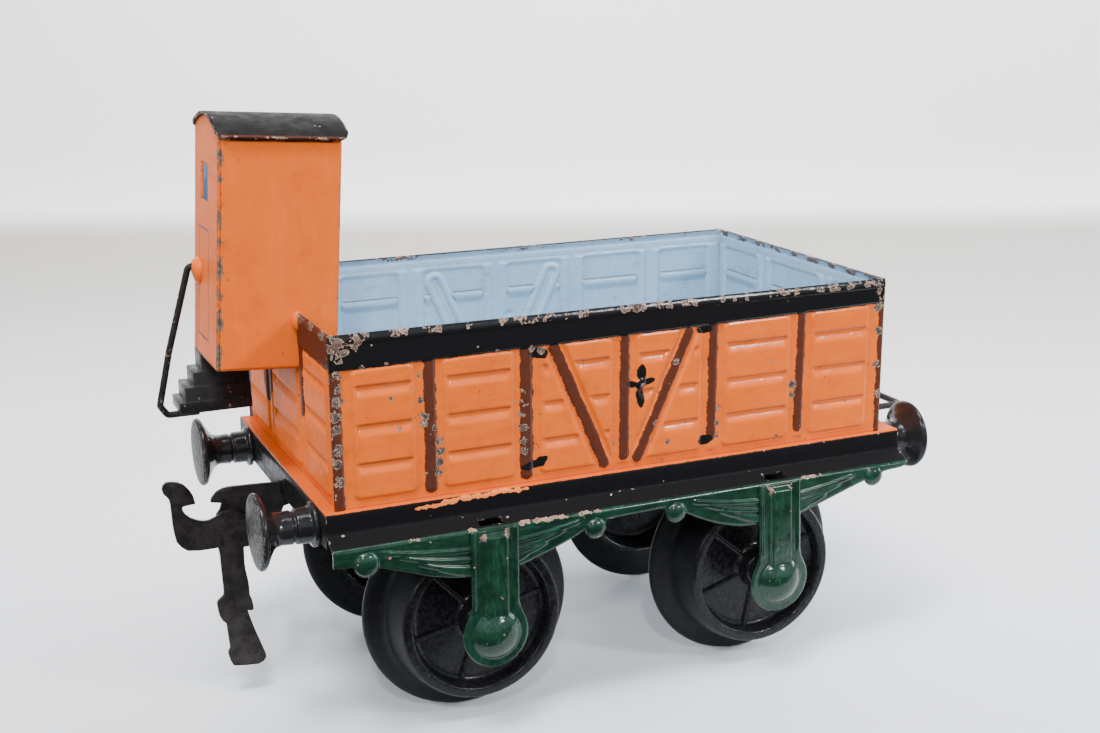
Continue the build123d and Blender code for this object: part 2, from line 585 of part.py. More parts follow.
with BuildPart() as link:
    with BuildLine(Plane.XY.offset(LINK_Z)) as link_path:
        r = 1.6
        a = Line((LINK_X, 0), (LINK_X, LINK_HALF - r))
        b = TangentArc(a @ 1, (LINK_X + r, LINK_HALF), tangent=a % 1)
        c = Line(b @ 1, (LINK_END - r, LINK_HALF))
        d = TangentArc(c @ 1, (LINK_END, LINK_HALF - r), tangent=c % 1)
        e = Line(d @ 1, (LINK_END, -LINK_HALF + r))
        f = TangentArc(e @ 1, (LINK_END - r, -LINK_HALF), tangent=e % 1)
        g = Line(f @ 1, (LINK_X + r, -LINK_HALF))
        h = TangentArc(g @ 1, (LINK_X, -LINK_HALF + r), tangent=g % 1)
        Line(h @ 1, (LINK_X, 0))
    with BuildSketch(Plane(origin=(LINK_X, 0, LINK_Z), x_dir=(1, 0, 0), z_dir=(0, 1, 0))):
        Circle(LINK_R)
    sweep()
finish(link, "link")
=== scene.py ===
import math
import random

import bmesh
import bpy
import numpy as np
from mathutils import Matrix, Vector


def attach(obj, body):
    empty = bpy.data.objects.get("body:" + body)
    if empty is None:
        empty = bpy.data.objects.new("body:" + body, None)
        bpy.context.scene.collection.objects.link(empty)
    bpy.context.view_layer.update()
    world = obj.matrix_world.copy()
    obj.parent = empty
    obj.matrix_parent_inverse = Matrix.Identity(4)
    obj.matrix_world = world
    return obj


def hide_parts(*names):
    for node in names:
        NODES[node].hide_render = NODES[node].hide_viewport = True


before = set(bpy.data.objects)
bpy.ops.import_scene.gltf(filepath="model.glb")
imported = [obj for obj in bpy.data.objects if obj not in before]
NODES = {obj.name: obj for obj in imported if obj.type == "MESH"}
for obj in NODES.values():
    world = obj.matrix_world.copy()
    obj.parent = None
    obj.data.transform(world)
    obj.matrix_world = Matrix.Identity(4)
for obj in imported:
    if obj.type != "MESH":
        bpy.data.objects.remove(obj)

random.seed(7)
rng = np.random.default_rng(7)


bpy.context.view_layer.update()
COL = bpy.context.scene.collection
MM = 0.001

# ------------------------------------------------------------------ sizes (mm), as in the CAD
X0, X1, BY = -55.1, 53.1, 30.9
RIM, JOG, FLOOR = 75.2, 72.0, 45.0
AX = 28.87
AZ = 19.84
GX = (-28.87, 28.3)


def smooth(t):
    t = np.clip(t, 0.0, 1.0)
    return t * t * (3 - 2 * t)


# ------------------------------------------------------------------ mesh helpers
def make(name, verts, faces, attrs=None, mats=(), smooth_on=True):
    me = bpy.data.meshes.new(name)
    me.from_pydata([tuple(float(c) * MM for c in v) for v in verts], [], [tuple(int(i) for i in f) for f in faces])
    me.update()
    for k, a in (attrs or {}).items():
        at = me.attributes.new(k, "FLOAT", "POINT")
        at.data.foreach_set("value", np.asarray(a, dtype=np.float32).ravel())
    ob = bpy.data.objects.new(name, me)
    COL.objects.link(ob)
    for m in mats:
        me.materials.append(m)
    if smooth_on:
        me.polygons.foreach_set("use_smooth", [True] * len(me.polygons))
    return ob


def grid(nu, nv, hole=None, flip=False):
    faces = []
    for i in range(nu - 1):
        for j in range(nv - 1):
            if hole is not None and hole[i, j]:
                continue
            a, b, c, d = i * nv + j, (i + 1) * nv + j, (i + 1) * nv + j + 1, i * nv + j + 1
            faces.append((a, d, c, b) if flip else (a, b, c, d))
    return faces


def apply_mods(ob):
    dg = bpy.context.evaluated_depsgraph_get()
    dg.update()
    me = bpy.data.meshes.new_from_object(ob.evaluated_get(dg), preserve_all_data_layers=True, depsgraph=dg)
    old = ob.data
    ob.modifiers.clear()
    ob.data = me
    bpy.data.meshes.remove(old)
    me.name = ob.name
    return ob


def solidify(ob, t, offset=-1.0, mat_off=0, rim_off=0):
    m = ob.modifiers.new("sheet", "SOLIDIFY")
    m.thickness, m.offset = t * MM, offset
    m.use_even_offset = False
    m.material_offset, m.material_offset_rim = mat_off, rim_off
    return apply_mods(ob)


def bevelled(ob, w, seg=2, angle=35):
    m = ob.modifiers.new("edge", "BEVEL")
    m.width, m.segments, m.limit_method, m.angle_limit = w * MM, seg, "ANGLE", math.radians(angle)
    m.harden_normals = False
    apply_mods(ob)
    return shade(ob, 40)


def shade(ob, angle=35):
    me = ob.data
    me.polygons.foreach_set("use_smooth", [True] * len(me.polygons))
    bm = bmesh.new()
    bm.from_mesh(me)
    lim = math.radians(angle)
    for e in bm.edges:
        e.smooth = not (len(e.link_faces) == 2 and e.calc_face_angle(0) > lim)
    bm.to_mesh(me)
    bm.free()
    return ob


def from_cad(node, name, w=0.12, seg=2, mats=(), angle=35):
    # a copy of the CAD surface with its seams welded and its edges rounded
    src = NODES[node]
    me = src.data.copy()
    me.name = name
    ob = bpy.data.objects.new(name, me)
    COL.objects.link(ob)
    me.materials.clear()
    for m in mats:
        me.materials.append(m)
    bm = bmesh.new()
    bm.from_mesh(me)
    bmesh.ops.remove_doubles(bm, verts=bm.verts, dist=2e-6)
    bmesh.ops.dissolve_limit(bm, angle_limit=math.radians(2), verts=bm.verts, edges=bm.edges)
    bm.to_mesh(me)
    bm.free()
    for p in me.polygons:
        p.material_index = 0
    if w:
        return bevelled(ob, w, seg, angle)
    return shade(ob, angle)


def revolve(name, prof, axis_o, axis, n=96, mats=(), attrs_fun=None, closed=True):
    # prof: list of (along, radius), axis is a unit vector along X or Y
    a = Vector(axis)
    up = Vector((0, 0, 1))
    side = a.cross(up)
    o = Vector(axis_o)
    verts, faces, al, ra = [], [], [], []
    m = len(prof)
    for i in range(n):
        t = 2 * math.pi * i / n
        d = up * math.cos(t) + side * math.sin(t)
        for (s, r) in prof:
            verts.append(o + a * s + d * r)
            al.append(s)
            ra.append(r)
    for i in range(n):
        for j in range(m if closed else m - 1):
            k = (j + 1) % m
            i2 = (i + 1) % n
            faces.append((i * m + j, i2 * m + j, i2 * m + k, i * m + k))
    at = {"al": al, "ra": ra}
    ob = make(name, verts, faces, at, mats)
    bm = bmesh.new()
    bm.from_mesh(ob.data)
    bmesh.ops.remove_doubles(bm, verts=bm.verts, dist=1e-6)
    bmesh.ops.recalc_face_normals(bm, faces=bm.faces)
    bm.to_mesh(ob.data)
    bm.free()
    return ob


def round_profile(pts, r, seg=4):
    # rounds the corners of a closed profile; r is one radius, or one for each point
    out = []
    n = len(pts)
    for i in range(n):
        p0, p1, p2 = (np.array(pts[(i + k) % n], float) for k in (-1, 0, 1))
        rr = r[i] if isinstance(r, (list, tuple)) else r
        a, b = p0 - p1, p2 - p1
        la, lb = np.linalg.norm(a), np.linalg.norm(b)
        if rr <= 0 or la < 1e-6 or lb < 1e-6:
            out.append(tuple(p1))
            continue
        a, b = a / la, b / lb
        d = min(rr, la * 0.45, lb * 0.45)
        s, e = p1 + a * d, p1 + b * d
        for k in range(seg + 1):
            t = k / seg
            out.append(tuple((1 - t) ** 2 * s + 2 * t * (1 - t) * p1 + t * t * e))
    return out


# ------------------------------------------------------------------ material helper
class Mat:
    def __init__(self, name, scale=1000.0):
        self.m = bpy.data.materials.new(name)
        self.m.use_nodes = True
        self.t = self.m.node_tree
        self.t.nodes.clear()
        self.out = self.t.nodes.new("ShaderNodeOutputMaterial")
        self.b = self.t.nodes.new("ShaderNodeBsdfPrincipled")
        self.t.links.new(self.b.outputs[0], self.out.inputs[0])
        tc = self.t.nodes.new("ShaderNodeTexCoord")
        mp = self.t.nodes.new("ShaderNodeMapping")
        mp.inputs["Scale"].default_value = (scale,) * 3
        self.t.links.new(tc.outputs["Object"], mp.inputs["Vector"])
        self.co = mp.outputs[0]

    def put(self, sock, v):
        if isinstance(v, bpy.types.NodeSocket):
            self.t.links.new(v, sock)
        elif isinstance(v, (tuple, list)) and len(v) == 3 and sock.type == "RGBA":
            sock.default_value = (*v, 1)
        else:
            sock.default_value = v

    def math(self, op, a, b=0.0, c=0.0, clamp=False):
        n = self.t.nodes.new("ShaderNodeMath")
        n.operation, n.use_clamp = op, clamp
        for s, v in zip(n.inputs, (a, b, c)):
            self.put(s, v)
        return n.outputs[0]

    def mix(self, f, a, b):
        n = self.t.nodes.new("ShaderNodeMix")
        n.data_type = "RGBA"
        self.put(n.inputs[0], f)
        self.put(n.inputs[6], a)
        self.put(n.inputs[7], b)
        return n.outputs[2]

    def mixf(self, f, a, b):
        n = self.t.nodes.new("ShaderNodeMix")
        n.data_type = "FLOAT"
        self.put(n.inputs[0], f)
        self.put(n.inputs[2], a)
        self.put(n.inputs[3], b)
        return n.outputs[0]

    def noise(self, scale, detail=3, rough=0.55, stretch=None, off=(0, 0, 0), dist=0.0):
        co = self.co
        if stretch or off != (0, 0, 0):
            mp = self.t.nodes.new("ShaderNodeMapping")
            mp.inputs["Scale"].default_value = stretch or (1, 1, 1)
            mp.inputs["Location"].default_value = off
            self.t.links.new(co, mp.inputs["Vector"])
            co = mp.outputs[0]
        n = self.t.nodes.new("ShaderNodeTexNoise")
        n.inputs["Scale"].default_value = scale
        n.inputs["Detail"].default_value = detail
        n.inputs["Roughness"].default_value = rough
        n.inputs["Distortion"].default_value = dist
        self.t.links.new(co, n.inputs["Vector"])
        return n.outputs["Fac"]

    def attr(self, name):
        n = self.t.nodes.new("ShaderNodeAttribute")
        n.attribute_name = name
        return n.outputs["Fac"]

    def axis(self, i):
        n = self.t.nodes.new("ShaderNodeSeparateXYZ")
        self.t.links.new(self.co, n.inputs[0])
        return n.outputs[i]

    def step(self, v, lo, hi):
        n = self.t.nodes.new("ShaderNodeMapRange")
        n.interpolation_type = "SMOOTHSTEP"
        self.put(n.inputs["Value"], v)
        self.put(n.inputs["From Min"], lo)
        self.put(n.inputs["From Max"], hi)
        return n.outputs[0]

    def bump(self, h, strength=1.0, dist=0.0001, normal=None):
        n = self.t.nodes.new("ShaderNodeBump")
        n.inputs["Strength"].default_value = strength
        n.inputs["Distance"].default_value = dist
        self.put(n.inputs["Height"], h)
        if normal is not None:
            self.t.links.new(normal, n.inputs["Normal"])
        return n.outputs[0]

    def done(self, color, rough, normal=None, metallic=0.0, coat=0.0, spec=0.5, ior=1.3):
        self.put(self.b.inputs["Base Color"], color)
        self.put(self.b.inputs["Roughness"], rough)
        self.put(self.b.inputs["Metallic"], metallic)
        self.put(self.b.inputs["Coat Weight"], coat)
        self.b.inputs["Coat Roughness"].default_value = 0.12
        self.put(self.b.inputs["Specular IOR Level"], spec)
        self.put(self.b.inputs["IOR"], ior)
        if normal is not None:
            self.t.links.new(normal, self.b.inputs["Normal"])
        return self.m


# colours, linear
ORANGE = (0.74, 0.130, 0.012)
ORANGE_D = (0.62, 0.100, 0.009)
BROWN = (0.063, 0.0175, 0.0095)
BLACK = (0.0075, 0.0075, 0.008)
GREEN = (0.0074, 0.034, 0.0185)
GREEN_D = (0.0042, 0.019, 0.011)
BLUE = (0.265, 0.405, 0.535)
BEIGE = (0.36, 0.21, 0.12)
TIN = (0.10, 0.085, 0.072)
RUST = (0.10, 0.045, 0.025)


def chips(M, size=1.0, gain=0.42, floor=0.80):
    """Signed value, above zero where the paint is lost. The wear attribute says how worn each place is."""
    n1 = M.noise(0.62 * size, 4, 0.6, dist=0.4)
    n2 = M.noise(2.1 * size, 3, 0.6, off=(17, 5, 3))
    n = M.math("ADD", M.math("MULTIPLY", n1, 0.68), M.math("MULTIPLY", n2, 0.32))
    lim = M.math("SUBTRACT", floor, M.math("MULTIPLY", M.attr("wear"), gain))
    return M.math("SUBTRACT", n, lim)


def layered(M, v):
    """Chip masks from a signed value: everything inside, the pale ring, the dark outline."""
    core = M.step(v, 0.0, 0.012)
    ring = M.math("SUBTRACT", core, M.step(v, 0.026, 0.046))
    line = M.math("SUBTRACT", M.step(v, -0.022, -0.006), core)
    return core, ring, line


def chip_colour(M, ring, pale=None, dark=None):
    k = M.step(M.noise(1.1, 3, 0.6, off=(3, 9, 1)), 0.40, 0.60)
    c = M.mix(k, pale or BEIGE, dark or TIN)
    k2 = M.step(M.noise(3.2, 2, 0.6, off=(8, 1, 4)), 0.52, 0.62)
    c = M.mix(M.math("MULTIPLY", k2, 0.6), c, (0.10, 0.055, 0.035))
    return M.mix(M.math("MULTIPLY", ring, 0.85), c, (0.50, 0.34, 0.25))


def enamel_bump(M, chip=None, stretch=(0.25, 1, 1), amount=1.0):
    # brush marks, a slight orange peel, and the step down at a chip
    brush = M.noise(1.6, 3, 0.6, stretch=stretch)
    peel = M.noise(0.5, 2, 0.5)
    fine = M.noise(6.0, 2, 0.5)
    h = M.math("ADD", M.math("MULTIPLY", brush, 0.022 * amount), M.math("MULTIPLY", peel, 0.07 * amount))
    h = M.math("ADD", h, M.math("MULTIPLY", fine, 0.004 * amount))
    if chip is not None:
        h = M.math("SUBTRACT", h, M.math("MULTIPLY", chip, 0.05))
    return M.bump(h, 1.0, 0.001)


def specks(M, density=0.70, scale=0.9):
    n = M.noise(scale, 1, 0.4, off=(31, 7, 11))
    return M.math("SUBTRACT", n, density)


def mat_wall(name="wall_enamel", ior=1.32, dull=0.0):
    M = Mat(name)
    wav = M.math("MULTIPLY", M.math("SUBTRACT", M.noise(0.45, 2, 0.6), 0.5), 0.9)
    wav2 = M.math("MULTIPLY", M.math("SUBTRACT", M.noise(1.8, 2, 0.6), 0.5), 0.35)
    w = M.math("ADD", wav, wav2)
    blk = M.step(M.math("ADD", M.attr("black"), M.math("MULTIPLY", w, 0.55)), -0.05, 0.06)
    brn = M.step(M.math("ADD", M.attr("brown"), w), -0.06, 0.08)
    shade_n = M.noise(0.09, 3, 0.6)
    brushv = M.noise(0.7, 3, 0.6, stretch=(0.15, 1, 1))
    orange = M.mix(M.math("MULTIPLY", M.step(shade_n, 0.35, 0.7), 0.35), ORANGE, ORANGE_D)
    orange = M.mix(M.math("MULTIPLY", M.step(brushv, 0.4, 0.75), 0.16), orange, (0.86, 0.22, 0.045))
    # thin brown smears in noise patches
    gr = M.step(M.noise(0.22, 5, 0.68, off=(2, 4, 6)), 0.48, 0.72)
    orange = M.mix(M.math("MULTIPLY", gr, 0.34), orange, (0.42, 0.068, 0.008))
    gf = M.step(M.noise(2.4, 4, 0.7, off=(1, 3, 5)), 0.60, 0.72)
    orange = M.mix(M.math("MULTIPLY", gf, 0.25), orange, (0.30, 0.05, 0.010))
    # painted shade: darker orange along the top of each groove and under the rail's joggle, standing in for the shadow
    # of the edge above, its strength varied by noise
    groove_shade_mask = M.math("MULTIPLY", M.attr("groove_shade"), M.mixf(M.noise(0.5, 3), 0.25, 0.75))
    orange = M.mix(groove_shade_mask, orange, (0.24, 0.05, 0.012))
    c = M.mix(brn, orange, M.mix(M.noise(0.8, 3), BROWN, (0.105, 0.030, 0.017)))
    c = M.mix(blk, c, BLACK)
    v = M.math("MAXIMUM", chips(M), specks(M, 0.775))
    core, ring, line = layered(M, v)
    high = M.step(M.axis(2), 71.5, 73.0)
    grey = chip_colour(M, ring, (0.115, 0.085, 0.068), (0.030, 0.026, 0.024))
    pink = chip_colour(M, ring, (0.135, 0.080, 0.062), (0.032, 0.025, 0.022))
    c = M.mix(core, c, M.mix(high, grey, pink))
    c = M.mix(line, c, (0.035, 0.018, 0.012))
    r = M.mixf(blk, M.mixf(M.step(M.noise(0.8, 3), 0.3, 0.7), 0.12 + dull, 0.24 + dull), 0.15)
    r = M.mixf(core, r, 0.62)
    n = enamel_bump(M, core)
    return M.done(c, r, n, ior=ior)


def mat_inside():
    M = Mat("inside_blue")
    c = M.mix(M.math("MULTIPLY", M.step(M.noise(0.12, 3), 0.35, 0.7), 0.5), BLUE, (0.21, 0.345, 0.48))
    # painted shade: darker blue along the grooves and under the rail's joggle
    c = M.mix(M.math("MULTIPLY", M.attr("groove_shade"), 0.6), c, (0.10, 0.15, 0.19))
    # grime in smears
    g = M.step(M.noise(0.35, 5, 0.7, stretch=(1, 1, 1.6)), 0.56, 0.70)
    c = M.mix(M.math("MULTIPLY", g, 0.40), c, (0.16, 0.18, 0.17))
    v = M.math("MAXIMUM", chips(M, 1.2), specks(M, 0.80))
    core, ring, ln = layered(M, v)
    core = M.math("MULTIPLY", core, M.step(M.axis(2), 72.6, 73.4))
    ln = M.math("MULTIPLY", ln, M.step(M.axis(2), 72.6, 73.4))
    c = M.mix(core, c, chip_colour(M, M.math("MULTIPLY", ring, 0.2), (0.15, 0.085, 0.055), (0.06, 0.035, 0.025)))
    c = M.mix(ln, c, (0.05, 0.035, 0.03))
    r = M.mixf(M.step(M.noise(0.6, 3), 0.3, 0.7), 0.14, 0.30)
    return M.done(c, r, enamel_bump(M, core, amount=1.2), ior=1.4)


def mat_chassis():
    M = Mat("chassis_enamel")
    w = M.math("MULTIPLY", M.math("SUBTRACT", M.noise(0.8, 3, 0.6), 0.5), 0.7)
    org = M.step(M.math("ADD", M.attr("orange"), M.math("MULTIPLY", w, 0.35)), -0.04, 0.05)
    smear = M.step(M.math("ADD", M.attr("smear"), M.math("MULTIPLY", w, 1.6)), -0.03, 0.04)
    grn = M.step(M.math("ADD", M.attr("green"), M.math("MULTIPLY", w, 0.5)), -0.05, 0.08)
    g = M.mix(M.step(M.noise(0.35, 3), 0.35, 0.65), GREEN, GREEN_D)
    g = M.mix(M.math("MULTIPLY", M.step(M.noise(1.6, 3, 0.6, stretch=(0.2, 1, 1)), 0.5, 0.75), 0.35), g, (0.02, 0.10, 0.062))
    c = M.mix(grn, BLACK, g)
    o = M.mix(M.noise(0.3, 3), (0.66, 0.108, 0.010), (0.50, 0.080, 0.008))
    c = M.mix(org, c, o)
    c = M.mix(smear, c, (0.80, 0.20, 0.05))
    v = M.math("MAXIMUM", chips(M, 1.15), specks(M, 0.765, 0.8))
    core, ring, line = layered(M, v)
    c = M.mix(core, c, chip_colour(M, ring))
    c = M.mix(line, c, (0.03, 0.02, 0.014))
    r = M.mixf(M.step(M.noise(0.9, 3), 0.3, 0.7), 0.14, 0.28)
    r = M.mixf(grn, M.math("ADD", r, 0.14), M.math("SUBTRACT", r, 0.04))
    r = M.mixf(core, r, 0.6)
    n = enamel_bump(M, core, (1, 1, 1), amount=0.5)
    return M.done(c, r, n, ior=M.mixf(grn, 1.10, 1.38))


def mat_green():
    M = Mat("guard_enamel")
    g = M.mix(M.step(M.noise(0.4, 3), 0.35, 0.65), GREEN, GREEN_D)
    g = M.mix(M.math("MULTIPLY", M.step(M.noise(1.8, 3, 0.6, stretch=(1, 1, 0.25)), 0.5, 0.75), 0.35), g, (0.022, 0.11, 0.066))
    v = M.math("MAXIMUM", chips(M, 1.3), specks(M, 0.765, 1.1))
    core, ring, line = layered(M, v)
    c = M.mix(core, g, M.mix(0.45, chip_colour(M, ring), (0.10, 0.075, 0.055)))
    c = M.mix(line, c, (0.02, 0.018, 0.012))
    r = M.mixf(M.step(M.noise(1.1, 3), 0.35, 0.7), 0.08, 0.22)
    r = M.mixf(core, r, 0.6)
    return M.done(c, r, enamel_bump(M, core, (1, 1, 0.5), 0.8), coat=0.0, ior=1.38)


def mat_black(name, base=BLACK, rough=(0.14, 0.30), bump=1.0, spk=0.76, ior=1.22):
    M = Mat(name)
    c0 = M.mix(M.math("MULTIPLY", M.step(M.noise(0.35, 3), 0.35, 0.7), 0.6), base, tuple(v * 1.9 + 0.002 for v in base))
    v = specks(M, spk, 1.0)
    core, ring, line = layered(M, v)
    c = M.mix(core, c0, M.mix(0.55, chip_colour(M, M.math("MULTIPLY", ring, 0.4)), (0.08, 0.055, 0.04)))
    r = M.mixf(M.step(M.noise(0.9, 4), 0.3, 0.7), *rough)
    r = M.mixf(core, r, 0.6)
    return M.done(c, r, enamel_bump(M, core, (1, 1, 1), bump), ior=ior)


def mat_roof():
    M = Mat("roof_enamel")
    n = M.noise(0.22, 4, 0.6)
    c = M.mix(M.step(n, 0.35, 0.7), (0.008, 0.0075, 0.007), (0.018, 0.0172, 0.016))
    c = M.mix(M.math("MULTIPLY", M.step(M.noise(1.2, 4, 0.7), 0.55, 0.7), 0.5), c, (0.04, 0.037, 0.033))
    c = M.mix(M.step(M.attr("dark"), 0.35, 0.65), c, (0.060, 0.020, 0.012))
    v = M.math("MAXIMUM", chips(M, 1.1), specks(M, 0.76, 0.8))
    core, ring, line = layered(M, v)
    c = M.mix(core, c, chip_colour(M, ring))
    c = M.mix(line, c, (0.03, 0.018, 0.012))
    r = M.mixf(M.step(M.noise(0.6, 4), 0.3, 0.7), 0.42, 0.62)
    return M.done(c, M.mixf(core, r, 0.6), enamel_bump(M, core, (0.4, 1, 1), 0.8), coat=0.0, ior=1.13)


def mat_hut(name="hut_enamel", ior=1.17):
    M = Mat(name)
    o = M.mix(M.math("MULTIPLY", M.step(M.noise(0.08, 3, 0.6), 0.35, 0.7), 0.35), ORANGE, ORANGE_D)
    o = M.mix(M.math("MULTIPLY", M.step(M.noise(0.6, 3, 0.6, stretch=(1, 1, 0.15)), 0.45, 0.75), 0.16), o, (0.86, 0.21, 0.04))
    # thin scratches
    scr = M.math("ABSOLUTE", M.math("SUBTRACT", M.noise(0.35, 1, 0.3, stretch=(1, 1, 0.6), off=(4, 2, 9)), 0.5))
    scr = M.math("MULTIPLY", M.math("SUBTRACT", 1.0, M.step(scr, 0.0, 0.0022)), M.step(M.noise(0.18, 2, off=(2, 2, 2)), 0.55, 0.62))
    o = M.mix(M.math("MULTIPLY", scr, 0.4), o, (0.75, 0.48, 0.33))
    # brush-drawn lining of the door
    ln = M.math("ABSOLUTE", M.math("ADD", M.attr("door"), M.math("MULTIPLY", M.math("SUBTRACT", M.noise(0.6, 2), 0.5), 0.25)))
    ln = M.math("SUBTRACT", 1.0, M.step(ln, 0.16, 0.34))
    o = M.mix(M.math("MULTIPLY", ln, 0.85), o, (0.050, 0.040, 0.042))
    gr = M.step(M.noise(0.12, 5, 0.68, off=(2, 4, 6)), 0.46, 0.74)
    o = M.mix(M.math("MULTIPLY", gr, 0.36), o, (0.44, 0.074, 0.009))
    gf = M.step(M.noise(2.2, 4, 0.7, off=(1, 3, 5)), 0.62, 0.74)
    o = M.mix(M.math("MULTIPLY", gf, 0.22), o, (0.30, 0.05, 0.010))
    dk = M.step(M.attr("dark"), -0.05, 0.1)
    o = M.mix(dk, o, (0.09, 0.03, 0.016))
    v = M.math("MAXIMUM", chips(M, 1.25), specks(M, 0.80))
    core, ring, line = layered(M, v)
    c = M.mix(core, o, M.mix(0.5, chip_colour(M, ring), (0.06, 0.052, 0.048)))
    c = M.mix(line, c, (0.08, 0.04, 0.025))
    r = M.mixf(M.step(M.noise(0.7, 3), 0.3, 0.7), 0.25, 0.42)
    return M.done(c, M.mixf(core, r, 0.6), enamel_bump(M, core, (1, 1, 0.3), 0.7), ior=ior)


def mat_buffer():
    M = Mat("buffer_enamel")
    c0 = M.mix(M.noise(0.6, 3), (0.008, 0.008, 0.0085), (0.018, 0.018, 0.019))
    # the striking face is rubbed to bare metal
    worn = M.attr("face")
    wn = M.step(M.math("ADD", worn, M.math("MULTIPLY", M.math("SUBTRACT", M.noise(1.1, 5, 0.7), 0.5), 1.1)), 0.40, 0.60)
    metal = M.mix(M.step(M.noise(1.7, 5, 0.7, stretch=(1, 1, 0.5)), 0.48, 0.64), (0.016, 0.015, 0.0145), (0.14, 0.132, 0.125))
    pits = M.step(M.noise(2.6, 3, 0.7, off=(5, 5, 5)), 0.54, 0.62)
    metal = M.mix(pits, metal, (0.014, 0.013, 0.012))
    tan = M.step(M.noise(1.3, 4, 0.7, off=(9, 2, 7)), 0.62, 0.70)
    metal = M.mix(tan, metal, (0.36, 0.20, 0.13))
    c = M.mix(wn, c0, metal)
    r = M.mixf(wn, M.mixf(M.step(M.noise(0.8, 3), 0.4, 0.7), 0.08, 0.26), M.mixf(pits, 0.34, 0.6))
    h = M.math("ADD", M.math("MULTIPLY", M.noise(0.8, 3, 0.6), 0.07), M.math("MULTIPLY", pits, M.math("MULTIPLY", wn, -0.05)))
    return M.done(c, r, M.bump(h, 1.0, 0.001), ior=M.mixf(wn, 1.33, 1.14))


def mat_wheel():
    M = Mat("wheel_lacquer")
    c = M.mix(M.noise(0.5, 4), (0.0040, 0.0040, 0.0046), (0.0085, 0.0085, 0.0097))
    t = M.attr("tread")
    g = M.step(M.noise(1.5, 5, 0.7), 0.58, 0.72)
    c = M.mix(M.math("MULTIPLY", g, 0.30), c, (0.05, 0.048, 0.048))
    dust = M.step(M.noise(2.6, 2, 0.5, off=(7, 7, 1)), 0.70, 0.76)
    c = M.mix(M.math("MULTIPLY", dust, 0.6), c, (0.10, 0.095, 0.09))
    # the lacquer runs thick and thin on the face; the tread is dull
    face = M.mixf(M.step(M.noise(1.0, 5, 0.75), 0.40, 0.60), 0.09, 0.42)
    r = M.mixf(t, face, 0.42)
    h = M.math("ADD", M.math("MULTIPLY", M.noise(0.8, 4, 0.65), 0.075), M.math("MULTIPLY", M.noise(5.0, 2), 0.004))
    return M.done(c, r, M.bump(h, M_tread_strength, 0.001), ior=M.mixf(t, 1.28, 1.24))


M_tread_strength = 0.8


def mat_blued():
    M = Mat("blued_steel")
    n = M.noise(0.35, 4, 0.65)
    c = M.mix(M.step(n, 0.35, 0.65), (0.020, 0.018, 0.019), (0.042, 0.036, 0.036))
    c = M.mix(M.math("MULTIPLY", M.step(M.noise(0.9, 5, 0.7, off=(6, 2, 1)), 0.54, 0.68), 0.55), c, (0.075, 0.045, 0.040))
    r = M.mixf(M.step(M.noise(1.4, 4, 0.7), 0.3, 0.7), 0.38, 0.58)
    h = M.math("ADD", M.math("MULTIPLY", M.noise(3.0, 4, 0.6), 0.012), M.math("MULTIPLY", M.noise(0.5, 2), 0.05))
    return M.done(c, r, M.bump(h, 1.0, 0.001), metallic=0.75)


def mat_axle():
    M = Mat("axle_steel")
    c = M.mix(M.noise(0.8, 4, stretch=(1, 0.2, 1)), (0.20, 0.19, 0.18), (0.32, 0.30, 0.28))
    c = M.mix(M.step(M.noise(1.1, 4, off=(3, 3, 3)), 0.55, 0.7), c, (0.10, 0.05, 0.03))
    return M.done(c, 0.42, M.bump(M.noise(3.0, 3), 0.5, 0.00002), metallic=0.9)


def mat_floor():
    M = Mat("table_top")
    # painted shade: the table top darkens from in front of the wagon towards the card
    d = M.math("ADD", M.math("MULTIPLY", M.axis(0), FWD[0]), M.math("MULTIPLY", M.axis(1), FWD[1]))
    t = M.step(d, -20.0, 420.0)
    c = M.mix(t, (0.79, 0.80, 0.82), (0.415, 0.39, 0.357))
    c = M.mix(M.math("MULTIPLY", M.step(M.noise(0.006, 3), 0.3, 0.7), 0.06), c, (0.6, 0.6, 0.6))
    return M.done(c, M.mixf(M.noise(0.01, 2), 0.42, 0.5), M.bump(M.noise(1.5, 2), 0.05, 0.0001), ior=1.25)


FWD = (math.sin(0.4111), math.cos(0.4111))


def mat_backdrop():
    M = Mat("backdrop_card")
    c = M.mix(M.step(M.noise(0.003, 3), 0.3, 0.7), (0.78, 0.772, 0.768), (0.80, 0.792, 0.788))
    # painted shade: the foot of the card takes the table's darker far tone, fading out 13 mm up
    c = M.mix(M.step(M.axis(2), 0.6, 13.0), (0.445, 0.42, 0.388), c)
    return M.done(c, 0.9, M.bump(M.noise(0.8, 2), 0.05, 0.0001), spec=0.1)


WALL, INSIDE, CHAS, GRN = mat_wall(), mat_inside(), mat_chassis(), mat_green()
WALLE = mat_wall("end_enamel", 1.07, 0.16)
ROOF, HUT, BUF, WHL, BLUED, AXLE = mat_roof(), mat_hut(), mat_buffer(), mat_wheel(), mat_blued(), mat_axle()
HUTE = mat_hut("hut_end_enamel", 1.08)
BEAM = mat_black("beam_enamel", spk=0.74, rough=(0.3, 0.45), ior=1.13)
UNDER = mat_black("underside_enamel", base=(0.016, 0.017, 0.017), rough=(0.35, 0.55))
STEP = mat_black("step_enamel", base=(0.012, 0.0115, 0.0115), rough=(0.24, 0.45), spk=0.72)
WIRE = mat_black("wire_enamel", base=(0.012, 0.012, 0.012), rough=(0.25, 0.5), spk=0.69, bump=1.4)

# ------------------------------------------------------------------ pressed walls
PLANKS = [(46.3, 50.9), (52.3, 57.3), (59.0, 64.1), (65.9, 71.4)]
BAYS = [(-52.2, -40.8), (-36.2, -22.8), (-18.4, -3.9), (0.3, 14.0), (18.2, 32.8), (36.9, 50.2)]
STANCH = [-38.4, -20.7, -1.8, 16.1, 34.8]
DIAG = [((-15.3, 69.0), (-5.7, 46.8)), ((11.2, 69.0), (0.9, 46.8))]
END_BAYS = [(-28.6, -13.9), (-9.7, 9.7), (13.9, 28.6)]


